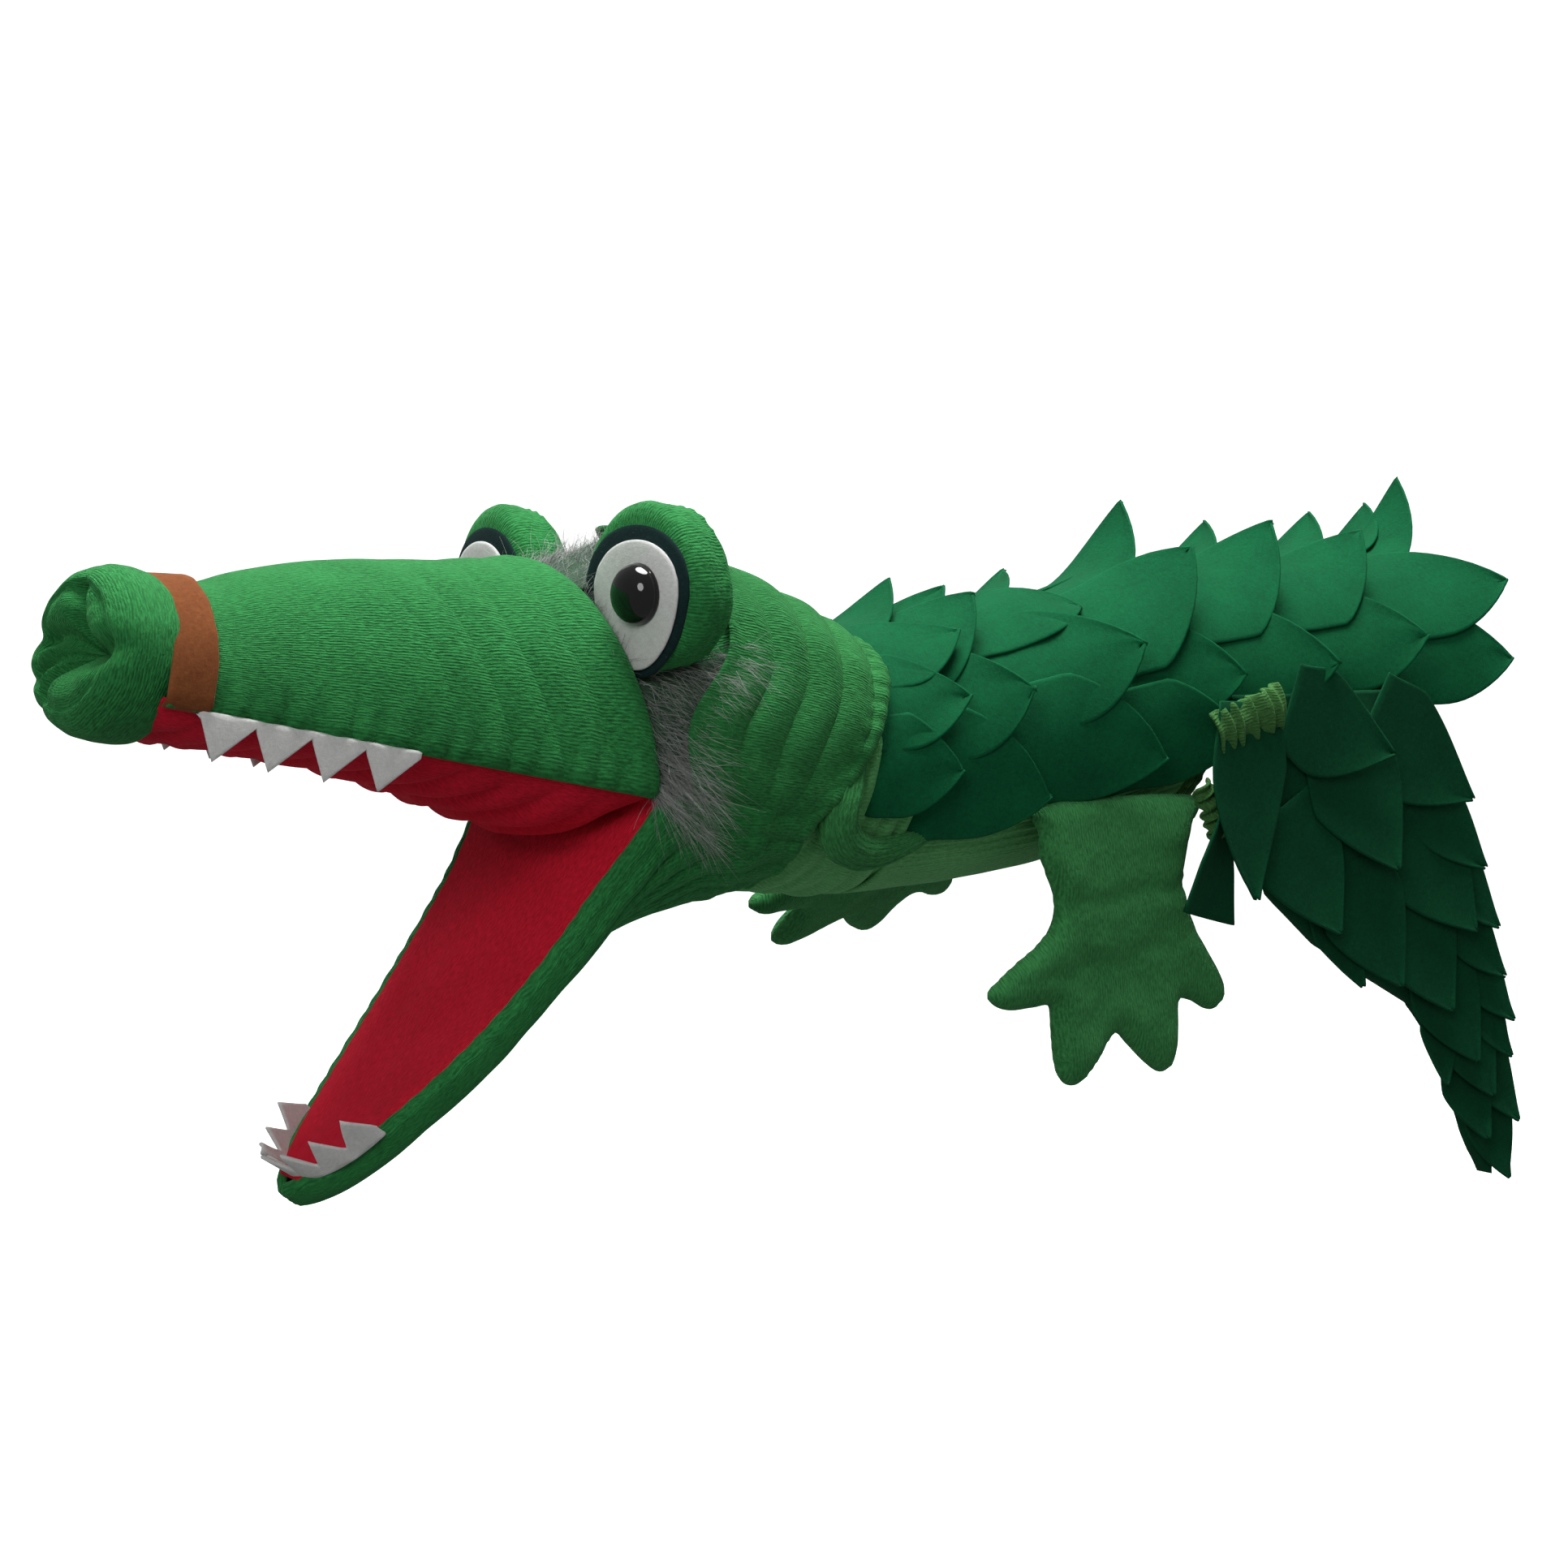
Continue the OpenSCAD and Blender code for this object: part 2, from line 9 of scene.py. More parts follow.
import bpy
import numpy as np
from mathutils import Vector, noise
from mathutils.geometry import delaunay_2d_cdt
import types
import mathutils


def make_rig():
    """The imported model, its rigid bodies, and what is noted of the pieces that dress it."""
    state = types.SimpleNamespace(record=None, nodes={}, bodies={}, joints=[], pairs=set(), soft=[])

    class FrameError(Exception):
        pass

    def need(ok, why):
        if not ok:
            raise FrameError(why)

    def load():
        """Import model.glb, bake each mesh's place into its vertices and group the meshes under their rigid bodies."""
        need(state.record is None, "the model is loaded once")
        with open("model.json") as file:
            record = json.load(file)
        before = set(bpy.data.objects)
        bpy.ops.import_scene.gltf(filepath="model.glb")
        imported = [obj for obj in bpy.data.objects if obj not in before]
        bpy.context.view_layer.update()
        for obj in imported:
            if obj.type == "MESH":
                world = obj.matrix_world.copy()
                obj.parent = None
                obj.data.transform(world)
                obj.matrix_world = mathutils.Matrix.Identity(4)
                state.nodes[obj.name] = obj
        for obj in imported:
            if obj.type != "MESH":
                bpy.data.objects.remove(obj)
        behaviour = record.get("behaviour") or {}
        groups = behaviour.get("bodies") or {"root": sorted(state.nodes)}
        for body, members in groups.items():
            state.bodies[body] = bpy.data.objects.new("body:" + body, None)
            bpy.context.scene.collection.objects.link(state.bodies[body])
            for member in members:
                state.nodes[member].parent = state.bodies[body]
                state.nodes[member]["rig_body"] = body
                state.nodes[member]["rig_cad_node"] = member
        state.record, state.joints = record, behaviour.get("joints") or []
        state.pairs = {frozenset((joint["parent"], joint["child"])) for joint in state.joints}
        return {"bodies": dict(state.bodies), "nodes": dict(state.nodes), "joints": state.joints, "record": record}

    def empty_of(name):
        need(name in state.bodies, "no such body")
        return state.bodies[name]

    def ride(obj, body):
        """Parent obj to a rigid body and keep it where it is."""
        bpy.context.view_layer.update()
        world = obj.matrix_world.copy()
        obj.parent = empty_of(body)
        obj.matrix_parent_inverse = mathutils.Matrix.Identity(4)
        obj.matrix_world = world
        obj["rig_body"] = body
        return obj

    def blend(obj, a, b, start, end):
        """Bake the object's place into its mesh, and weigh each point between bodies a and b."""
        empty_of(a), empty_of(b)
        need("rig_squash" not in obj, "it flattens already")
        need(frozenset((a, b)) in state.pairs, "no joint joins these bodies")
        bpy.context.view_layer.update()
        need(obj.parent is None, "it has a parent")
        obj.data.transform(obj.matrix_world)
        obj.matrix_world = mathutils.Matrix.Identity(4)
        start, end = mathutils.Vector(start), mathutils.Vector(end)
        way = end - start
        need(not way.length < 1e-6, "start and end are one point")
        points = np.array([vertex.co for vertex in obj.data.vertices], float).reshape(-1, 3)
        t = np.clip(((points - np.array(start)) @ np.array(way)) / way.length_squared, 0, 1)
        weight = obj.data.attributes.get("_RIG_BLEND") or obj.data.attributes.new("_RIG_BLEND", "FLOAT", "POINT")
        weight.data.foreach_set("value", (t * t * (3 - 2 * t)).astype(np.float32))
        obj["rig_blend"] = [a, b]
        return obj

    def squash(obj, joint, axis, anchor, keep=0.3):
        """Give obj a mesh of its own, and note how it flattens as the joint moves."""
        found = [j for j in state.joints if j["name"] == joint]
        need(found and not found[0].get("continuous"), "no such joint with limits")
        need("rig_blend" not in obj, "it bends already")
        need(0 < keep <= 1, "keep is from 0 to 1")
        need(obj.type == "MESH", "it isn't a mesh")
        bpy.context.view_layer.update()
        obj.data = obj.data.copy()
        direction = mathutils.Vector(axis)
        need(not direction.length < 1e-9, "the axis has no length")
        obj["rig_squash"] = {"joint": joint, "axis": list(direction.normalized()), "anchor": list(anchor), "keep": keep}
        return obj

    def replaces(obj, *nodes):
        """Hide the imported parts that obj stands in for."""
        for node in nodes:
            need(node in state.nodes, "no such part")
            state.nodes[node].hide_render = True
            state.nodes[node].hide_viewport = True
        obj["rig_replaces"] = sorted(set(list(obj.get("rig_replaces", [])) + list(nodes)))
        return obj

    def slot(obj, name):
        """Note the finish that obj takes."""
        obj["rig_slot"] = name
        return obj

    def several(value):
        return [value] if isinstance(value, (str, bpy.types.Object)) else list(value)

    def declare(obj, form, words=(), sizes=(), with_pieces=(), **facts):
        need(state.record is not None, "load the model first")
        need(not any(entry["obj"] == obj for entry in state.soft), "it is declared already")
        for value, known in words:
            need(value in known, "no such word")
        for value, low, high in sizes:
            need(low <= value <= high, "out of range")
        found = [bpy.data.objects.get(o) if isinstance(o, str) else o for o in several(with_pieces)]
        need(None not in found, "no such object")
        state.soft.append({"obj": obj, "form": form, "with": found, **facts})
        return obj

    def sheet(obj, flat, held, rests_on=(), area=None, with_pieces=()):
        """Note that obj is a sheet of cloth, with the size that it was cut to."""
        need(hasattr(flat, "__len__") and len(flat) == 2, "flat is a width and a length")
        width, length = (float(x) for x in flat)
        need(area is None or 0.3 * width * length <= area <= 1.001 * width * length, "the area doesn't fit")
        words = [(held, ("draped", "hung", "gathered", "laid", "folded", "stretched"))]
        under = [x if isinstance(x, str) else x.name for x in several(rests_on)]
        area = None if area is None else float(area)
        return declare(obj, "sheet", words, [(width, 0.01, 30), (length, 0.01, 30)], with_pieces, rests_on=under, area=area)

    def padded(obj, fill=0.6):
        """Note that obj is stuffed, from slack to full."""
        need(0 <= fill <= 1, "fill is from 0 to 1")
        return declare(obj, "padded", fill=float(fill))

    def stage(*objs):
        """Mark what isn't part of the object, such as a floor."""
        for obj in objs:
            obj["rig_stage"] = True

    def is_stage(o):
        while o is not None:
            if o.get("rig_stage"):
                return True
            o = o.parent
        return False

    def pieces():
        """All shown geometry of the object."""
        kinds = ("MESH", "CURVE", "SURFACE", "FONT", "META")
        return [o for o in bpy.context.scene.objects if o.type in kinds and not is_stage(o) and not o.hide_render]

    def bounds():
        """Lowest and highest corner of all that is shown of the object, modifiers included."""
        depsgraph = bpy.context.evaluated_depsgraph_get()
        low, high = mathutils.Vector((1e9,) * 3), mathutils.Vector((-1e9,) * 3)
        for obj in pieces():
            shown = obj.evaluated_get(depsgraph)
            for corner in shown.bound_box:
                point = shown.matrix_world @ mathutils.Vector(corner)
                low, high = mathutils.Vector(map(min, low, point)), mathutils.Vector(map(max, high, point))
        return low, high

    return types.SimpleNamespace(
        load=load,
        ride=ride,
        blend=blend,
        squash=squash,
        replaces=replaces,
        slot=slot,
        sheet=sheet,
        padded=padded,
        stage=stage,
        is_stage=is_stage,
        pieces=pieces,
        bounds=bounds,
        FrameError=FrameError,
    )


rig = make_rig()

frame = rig.load()
cad_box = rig.bounds()
MM = 0.001
VELOUR, THIN, FELT = 1.5, 1.2, 1.15  # thickness of the cloths in mm


# ---- numbers and noise ---------------------------------------------------------------
def sin(d):
    return np.sin(np.radians(d))


def cos(d):
    return np.cos(np.radians(d))


def signed_power(v, p):
    return np.sign(v) * np.abs(v) ** p


def along(table, x):
    return np.interp(x, [p[0] for p in table], [p[1] for p in table])


def bump(x, middle, width):
    return np.exp(-(((x - middle) / width) ** 2))


def step(x, a, b):
    t = np.clip((x - a) / (b - a), 0, 1)
    return t * t * (3 - 2 * t)


def rungs(a, b, count):
    """Evenly spaced values down a surface, one to a row."""
    return np.linspace(a, b, count)[:, None]


def ticks(a, b, count):
    """Evenly spaced values across a surface, one to a column."""
    return np.linspace(a, b, count)[None, :]


def round_ticks(count):
    """Angles once round a closed ring, one to a column."""
    return np.linspace(0, 360, count, endpoint=False)[None, :]


def hump(x):
    """Rounded folds with sharp valleys, one for each whole step of x, from 0 to 1."""
    return 1 - (2 * (x % 1) - 1) ** 2


def fbm(points, size, seed, octaves=2):
    """Smooth noise of about -1 to 1 with features of the given size in mm."""
    flat = points.reshape(-1, 3) / size + seed * 7.31
    values = [noise.fractal(Vector(p), 0.7, 2.0, octaves) for p in flat]
    return np.array(values).reshape(points.shape[:-1])


def wave(x, seed):
    """Smooth noise along one number."""
    x = np.asarray(x, float)
    pts = np.stack([x.ravel(), np.full(x.size, seed * 3.7), np.full(x.size, seed * 1.9)], -1)
    return np.array([noise.noise(Vector(p)) for p in pts]).reshape(x.shape)


def xyz(x, y, z):
    return np.stack(np.broadcast_arrays(x, y, z), -1).astype(float)


def unit(v):
    return v / np.maximum(np.linalg.norm(v, axis=-1, keepdims=True), 1e-9)


# ---- meshes --------------------------------------------------------------------------
def grid_normals(p, wrap):
    across = np.roll(p, -1, 1) - np.roll(p, 1, 1) if wrap else np.gradient(p, axis=1)
    return unit(np.cross(np.gradient(p, axis=0), across))


def cloth_map(p, wrap, turn):
    """Texture coordinates in cm of real cloth, one column more than p if it wraps."""
    q = np.concatenate([p, p[:, :1]], 1) if wrap else p
    down = np.linalg.norm(np.diff(q, axis=0), axis=-1).mean(1)
    over = np.linalg.norm(np.diff(q, axis=1), axis=-1).mean(0)
    u = np.concatenate([[0], np.cumsum(down)]) / 10
    v = np.concatenate([[0], np.cumsum(over)]) / 10
    uu, vv = np.meshgrid(u, v, indexing="ij")
    return np.stack([vv, uu] if turn else [uu, vv], -1)


def quads(ids, uv):
    """Faces of a grid of vertex numbers, with the texture coordinates of their corners."""
    corner = [ids[:-1, :-1], ids[1:, :-1], ids[1:, 1:], ids[:-1, 1:]]
    place = [uv[:-1, :-1], uv[1:, :-1], uv[1:, 1:], uv[:-1, 1:]]
    return (np.stack(corner, -1).reshape(-1, 4), np.stack(place, -2).reshape(-1, 4, 2))


def cloth(p, thick, wrap=False, flip=False, turn=False):
    """A sheet of cloth with rounded edges: p is its outer face, rows by columns, in mm."""
    p = p[:, ::-1] if flip else p
    rows, cols = p.shape[:2]
    n = grid_normals(p, wrap)
    back = p - n * thick
    uv = cloth_map(p, wrap, turn)
    ids = np.arange(rows * cols).reshape(rows, cols)
    if wrap:
        ids = np.concatenate([ids, ids[:, :1]], 1)
    front = quads(ids, uv)
    rear = quads(ids[:, ::-1] + rows * cols, uv[:, ::-1])
    if wrap:
        rims = [[(0, j % cols) for j in range(cols, 0, -1)], [(rows - 1, j) for j in range(cols)]]
    else:
        rim = [(i, 0) for i in range(rows)] + [(rows - 1, j) for j in range(1, cols)]
        rim += [(i, cols - 1) for i in range(rows - 2, -1, -1)]
        rim += [(0, j) for j in range(cols - 2, 0, -1)]
        rims = [rim]
    verts = [p.reshape(-1, 3), back.reshape(-1, 3)]
    faces, maps = [front[0], rear[0]], [front[1], rear[1]]
    count = 2 * rows * cols
    for rim in rims:
        i, j = np.array(rim).T
        edge, far = p[i, j], back[i, j]
        out = unit(edge - p[np.clip(i, 1, rows - 2), j if wrap else np.clip(j, 1, cols - 2)])
        verts.append((edge + far) / 2 + out * thick * 0.4)
        k = np.arange(len(rim))
        k1 = (k + 1) % len(rim)
        e = i * cols + j
        m = count + k
        b = e + rows * cols
        at = uv[i, j]
        faces += [np.stack([e[k1], e[k], m[k], m[k1]], -1), np.stack([m[k1], m[k], b[k], b[k1]], -1)]
        side = np.stack([at[k1], at[k], at[k], at[k1]], 1)
        maps += [side, side]
        count += len(rim)
    return (np.concatenate(verts), np.concatenate(faces), np.concatenate(maps), None)


def loft(p, start, end, turn=False):
    """A closed form through rings of points, drawn together to a point at each end."""
    rows, cols = p.shape[:2]
    ids = np.arange(rows * cols).reshape(rows, cols)
    ids = np.concatenate([ids, ids[:, :1]], 1)
    uv = cloth_map(p, True, turn)
    body = quads(ids, uv)
    s = rows * cols
    tri, tri_uv = [], []
    for j in range(cols):
        tri.append((s, ids[0, j], ids[0, j + 1]))
        tri_uv.append((uv[0, j], uv[0, j], uv[0, j + 1]))
        tri.append((s + 1, ids[-1, j + 1], ids[-1, j]))
        tri_uv.append((uv[-1, j], uv[-1, j + 1], uv[-1, j]))
    verts = np.concatenate([p.reshape(-1, 3), [start], [end]])
    return (verts, body[0], body[1], (np.array(tri), np.array(tri_uv)))


def tube(path, radius, sides=8):
    """A closed cord of cloth along a path; radius may change along it."""
    path = np.asarray(path, float)
    radius = np.broadcast_to(np.asarray(radius, float), len(path))
    t = unit(np.gradient(path, axis=0))
    ref = np.array([0.13, 0.21, 0.97])
    a = unit(np.cross(t, ref))
    b = np.cross(t, a)
    k = np.arange(sides) * 360 / sides
    ring = a[:, None] * cos(k)[None, :, None] + b[:, None] * sin(k)[None, :, None]
    p = path[:, None] + ring * radius[:, None, None]
    return loft(p, path[0] - t[0] * radius[0] * 0.6, path[-1] + t[-1] * radius[-1] * 0.6)


def build(name, parts, material):
    verts, faces, coords, count = [], [], [], 0
    for v, q, quv, extra in parts:
        verts.append(v)
        faces += (q + count).tolist()
        coords.append(quv.reshape(-1, 2))
        if extra is not None:
            faces += (extra[0] + count).tolist()
            coords.append(extra[1].reshape(-1, 2))
        count += len(v)
    mesh = bpy.data.meshes.new(name)
    mesh.from_pydata((np.concatenate(verts) * MM).tolist(), [], faces)
    layer = mesh.uv_layers.new(name="cloth")
    layer.data.foreach_set("uv", np.concatenate(coords).astype(np.float32).ravel())
    mesh.polygons.foreach_set("use_smooth", np.ones(len(mesh.polygons), bool))
    mesh.materials.append(material)
    mesh.update()
    ob = bpy.data.objects.new(name, mesh)
    bpy.context.scene.collection.objects.link(ob)
    return ob


def piece(name, parts, material, body, *stands_for, fill=None, slot=None):
    """One named piece on a body, or on two bodies with the places where its bend starts and ends."""
    ob = build(name, parts if isinstance(parts, list) else [parts], material)
    if isinstance(body, tuple):
        a, b, start, end = body
        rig.blend(ob, a, b, start=[v * MM for v in start], end=[v * MM for v in end])
    else:
        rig.ride(ob, body)
    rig.slot(ob, slot or SLOTS[material])
    if stands_for:
        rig.replaces(ob, *stands_for)
    if fill is not None:
        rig.padded(ob, fill=fill)
    return ob


# ---- materials -----------------------------------------------------------------------
BAND_PERIOD = 0.314  # distance between the bands of a wave texture at scale 1


class Paint:
    """A Principled material with a short way to add nodes."""

    def __init__(self, name):
        self.material = bpy.data.materials.new(name)
        self.material.use_nodes = True
        self.tree = self.material.node_tree
        self.shader = self.tree.nodes["Principled BSDF"]

    def add(self, kind, out=0, props=(), **inputs):
        node = self.tree.nodes.new(kind)
        for key, value in props:
            setattr(node, key, value)
        for key, value in inputs.items():
            socket = int(key[1:]) if key[1:].isdigit() else key.replace("_", " ")
            self.put(node.inputs[socket], value)
        return node.outputs[out]

    def put(self, socket, value):
        if isinstance(value, bpy.types.NodeSocket):
            self.tree.links.new(value, socket)
        else:
            socket.default_value = value

    def set(self, **inputs):
        for key, value in inputs.items():
            self.put(self.shader.inputs[key.replace("_", " ")], value)

    def math(self, op, a, b=0.0):
        return self.add("ShaderNodeMath", props=[("operation", op)], i0=a, i1=b)

    def mix(self, fac, a, b):
        return self.add("ShaderNodeMix", out=2, props=[("data_type", "RGBA")], i0=fac, i6=a, i7=b)

    def scaled(self, source, x, y, z=1.0, turn=0.0):
        return self.add("ShaderNodeMapping", Vector=source, Scale=(x, y, z), Rotation=(0, 0, turn))

    def noise(self, vector, scale, detail=2.0, rough=0.5):
        return self.add("ShaderNodeTexNoise", Vector=vector, Scale=scale, Detail=detail, Roughness=rough)

    def span(self, value, lo, hi, a=0.0, b=1.0):
        return self.add("ShaderNodeMapRange", i0=value, i1=lo, i2=hi, i3=a, i4=b)

    def total(self, first, *others):
        """Sum of (value, weight) pairs."""
        result = self.math("MULTIPLY", *first)
        for value, weight in others:
            result = self.math("ADD", result, self.math("MULTIPLY", value, weight))
        return result

    def pushed(self, source, scale, amount):
        """Coordinates pushed about by noise in all three directions."""
        push = self.add("ShaderNodeTexNoise", out=1, Vector=source, Scale=scale)
        push = self.add("ShaderNodeVectorMath", props=[("operation", "SCALE")], i0=push, Scale=amount)
        return self.add("ShaderNodeVectorMath", props=[("operation", "ADD")], i0=source, i1=push)

    def coords(self, which):
        return self.add("ShaderNodeTexCoord", out={"object": 3, "uv": 2}[which])

    def relief(self, height, strength, distance):
        return self.add("ShaderNodeBump", Height=height, Strength=strength, Distance=distance)


def rgba(c):
    return (c[0], c[1], c[2], 1.0)


def velour(name, dark, light, row=0.85, relief=0.55, sheen=0.32):
    """Cotton velour: rows of clipped loops, short fibres and soft patches of brushed pile."""
    p = Paint(name)
    uv, obj = p.coords("uv"), p.coords("object")
    drift = p.noise(p.scaled(uv, 0.5, 0.5), 1.0, 2.0)
    moved = p.pushed(uv, 0.7, 0.16)
    rows = p.add("ShaderNodeTexWave", out=1, props=[("wave_type", "BANDS"), ("bands_direction", "Y")],
                 Vector=moved, Scale=BAND_PERIOD / (row / 10), Distortion=0.6, Detail=1.0, Detail_Scale=6.0)
    dashes = p.span(p.noise(p.scaled(moved, 4.5, 15.0), 1.0, 2.0, 0.6), 0.36, 0.64)
    fibre = p.noise(obj, 1900.0, 2.0, 0.7)
    patches = p.noise(obj, 42.0, 3.0, 0.55)
    shade = p.total((dashes, 0.38), (rows, 0.14), (fibre, 0.22), (patches, 0.42), (drift, 0.06))
    colour = p.mix(p.span(shade, 0.22, 0.92), rgba(dark), rgba(light))
    height = p.total((dashes, 0.6), (rows, 0.4), (fibre, 0.5))
    p.set(Base_Color=colour, Roughness=p.span(fibre, 0.3, 0.7, 0.78, 0.95),
          Normal=p.relief(height, relief, 0.0009), Sheen_Weight=sheen, Sheen_Roughness=0.36,
          Sheen_Tint=rgba([min(1, 2.6 * c + 0.10) for c in light]), Specular_IOR_Level=0.15)
    return p.material


def felt_cloth(name, dark, light, relief=0.35, fuzz=0.3, fleck=None):
    """Pressed felt: matted short fibres in all directions, a little paler along cut edges."""
    p = Paint(name)
    obj = p.coords("object")
    bent = p.pushed(obj, 300.0, 0.004)
    hair_a = p.noise(p.scaled(bent, 2600.0, 420.0, 900.0), 1.0, 2.0, 0.65)
    hair_b = p.noise(p.scaled(bent, 420.0, 900.0, 2600.0, 0.7), 1.0, 2.0, 0.65)
    mat = p.noise(obj, 620.0, 3.0, 0.7)
    cloud = p.noise(obj, 60.0, 2.0)
    hairs = p.total((hair_a, 0.5), (hair_b, 0.5))
    shade = p.total((hairs, 0.5), (mat, 0.28), (cloud, 0.22))
    edge = p.span(p.add("ShaderNodeNewGeometry", out="Pointiness"), 0.5, 0.58, 0.0, 0.14)
    colour = p.mix(p.math("ADD", p.span(shade, 0.34, 0.66), edge), rgba(dark), rgba(light))
    if fleck:
        colour = p.mix(p.span(hair_a, 0.68, 0.74, 0.0, 0.5), colour, rgba(fleck))
    height = p.total((hairs, 0.7), (mat, 0.5))
    p.set(Base_Color=colour, Roughness=p.span(mat, 0.3, 0.7, 0.86, 0.98),
          Normal=p.relief(height, relief, 0.0006), Sheen_Weight=fuzz, Sheen_Roughness=0.5,
          Sheen_Tint=rgba([min(1, 2 * c + 0.06) for c in light]), Specular_IOR_Level=0.10)
    return p.material


def hair_paint():
    """Hair that is dark at the root; the second texture coordinate makes some hairs paler."""
    p = Paint("grey_fur_hair")
    uv = p.coords("uv")
    sep = p.add("ShaderNodeSeparateXYZ", Vector=uv)
    tint = p.add("ShaderNodeSeparateXYZ", out=1, Vector=uv)
    streak = p.noise(p.coords("object"), 800.0, 2.0)
    length = p.span(sep, 0.0, 1.0, 0.0, 1.0)
    pale = p.mix(tint, (0.15, 0.165, 0.15, 1), (0.66, 0.69, 0.65, 1))
    base = p.mix(streak, (0.045, 0.05, 0.045, 1), (0.13, 0.145, 0.13, 1))
    p.set(Base_Color=p.mix(p.span(length, 0.05, 0.6), base, pale), Roughness=0.55,
          Specular_IOR_Level=0.4, Sheen_Weight=0.2)
    return p.material


def bead_paint():
    p = Paint("eye_bead_plastic")
    obj = p.coords("object")
    haze = p.noise(obj, 260.0, 3.0)
    scratch = p.noise(p.scaled(obj, 300.0, 4000.0, 900.0), 1.0, 1.0)
    p.set(Base_Color=p.mix(haze, (0.002, 0.003, 0.003, 1), (0.008, 0.008, 0.007, 1)),
          Roughness=p.span(scratch, 0.4, 0.75, 0.05, 0.12), Coat_Weight=0.25, Coat_Roughness=0.03,
          Specular_IOR_Level=0.45, Normal=p.relief(haze, 0.05, 0.0002))
    return p.material


def moulded(name, dark, light, rough=0.4):
    """Moulded plastic with a faint grain."""
    p = Paint(name)
    obj = p.coords("object")
    grain = p.noise(obj, 900.0, 3.0)
    swirl = p.noise(obj, 120.0, 2.0)
    p.set(Base_Color=p.mix(swirl, rgba(dark), rgba(light)),
          Roughness=p.span(grain, 0.3, 0.7, rough, rough + 0.2), Normal=p.relief(grain, 0.2, 0.0002))
    return p.material


def woven(name, dark, light, thread=0.0006):
    """Plain woven cotton or pressed board: crossing threads with a few slubs."""
    p = Paint(name)
    obj = p.coords("object")
    warp, weft = (p.add("ShaderNodeTexWave", out=1, props=[("bands_direction", way)], Vector=obj,
                        Scale=BAND_PERIOD / thread, Distortion=0.8, Detail=2.0) for way in "XY")
    cross = p.math("MULTIPLY", warp, weft)
    slub = p.noise(p.scaled(obj, 60.0, 900.0, 200.0), 1.0, 3.0)
    shade = p.total((cross, 0.5), (slub, 0.5))
    p.set(Base_Color=p.mix(shade, rgba(dark), rgba(light)), Roughness=0.9,
          Normal=p.relief(cross, 0.4, 0.0004), Sheen_Weight=0.1)
    return p.material


GREEN = velour("green_velour_cloth", (0.007, 0.084, 0.019), (0.032, 0.262, 0.066))
# A slightly darker copy of the green velour, for the hood and the face behind the snout.
HOOD = velour("green_velour_hood", (0.008, 0.084, 0.020), (0.034, 0.240, 0.062))
BELLY = velour("belly_velour_cloth", (0.060, 0.270, 0.078), (0.150, 0.500, 0.170), row=1.5, relief=0.5)
FOOT = velour("foot_velour_cloth", (0.014, 0.105, 0.028), (0.052, 0.280, 0.080), row=1.1)
LINING = velour("lining_velour_cloth", (0.018, 0.085, 0.020), (0.070, 0.210, 0.055), row=1.2)
RED = velour("red_velour_cloth", (0.360, 0.004, 0.014), (0.740, 0.012, 0.040), row=0.6, relief=0.25,
             sheen=0.25)
SCALE = felt_cloth("scale_felt_cloth", (0.0018, 0.056, 0.020), (0.0042, 0.120, 0.042), fuzz=0.04)
# Painted shade: a copy of the scale felt about 0.6 times as bright, for the tail skin, tail scales and loose flap,
# which sit in shade.
SHADED_TAIL_FELT = felt_cloth("tail_felt_cloth", (0.0014, 0.036, 0.014), (0.0034, 0.074, 0.027), fuzz=0.04)
WHITE = felt_cloth("white_felt_cloth", (0.50, 0.50, 0.49), (0.72, 0.73, 0.71), fuzz=0.15)
DARK = felt_cloth("dark_felt_cloth", (0.0035, 0.013, 0.013), (0.010, 0.030, 0.030),
                  fleck=(0.05, 0.10, 0.09))
BROWN = felt_cloth("brown_felt_cloth", (0.110, 0.032, 0.010), (0.240, 0.080, 0.026))
FUR_BASE = felt_cloth("fur_backing_cloth", (0.02, 0.05, 0.03), (0.06, 0.11, 0.07), relief=1.0)
HAIR = hair_paint()
BEAD = bead_paint()
WASHER = moulded("washer_moulded_plastic", (0.10, 0.10, 0.10), (0.16, 0.16, 0.16))
BOARD = woven("mouth_board_card", (0.30, 0.19, 0.10), (0.46, 0.32, 0.19))
POCKET = woven("pocket_woven_cloth", (0.42, 0.38, 0.28), (0.66, 0.61, 0.48))
SLOTS = {GREEN: "green_velour", HOOD: "green_velour", FOOT: "green_velour", BELLY: "belly_velour",
         LINING: "lining_velour", RED: "red_velour", SCALE: "scale_felt", SHADED_TAIL_FELT: "scale_felt",
         WHITE: "white_felt", DARK: "dark_felt", BROWN: "brown_felt", FUR_BASE: "grey_fur",
         HAIR: "grey_fur", BEAD: "eye_plastic", POCKET: "pocket_cloth"}


# ---- surfaces shared with the CAD design, in mm --------------------------------------
HINGE_X, HINGE_Z = -232.0, -19.0
UPPER, LOWER = 12.0, 47.5
LIP = 1.2


def up_point(s, y, n):
    return xyz(HINGE_X - s * cos(UPPER) + n * sin(UPPER), y, HINGE_Z + s * sin(UPPER) + n * cos(UPPER))


def snout_width(s):
    return 49 - 19 * (np.maximum(s, 0) / 140) ** 1.15


def snout_height(s):
    return 69.6 - 0.228 * s + 1.4 * step(s, 30, 90) - 4.6 * step(s, 95, 150)


def snout_arc(s, off, a):
    rise = signed_power(np.clip(sin(a), 0, 1), 0.9)
    return (snout_width(s) + off) * cos(a), LIP + (snout_height(s) - LIP + off) * rise


def low_point(s, y, n):
    return xyz(HINGE_X - s * cos(LOWER) - n * sin(LOWER), y, HINGE_Z - s * sin(LOWER) + n * cos(LOWER))


def jaw_width(s):
    return (48 - 6 * step(s, 0, 40)) * np.clip(1 - (np.clip(s, 0, 200) / 151) ** 1.9, 0, 1) ** 0.6


def jaw_bow(s):
    return -6 * sin(180 * s / 148)


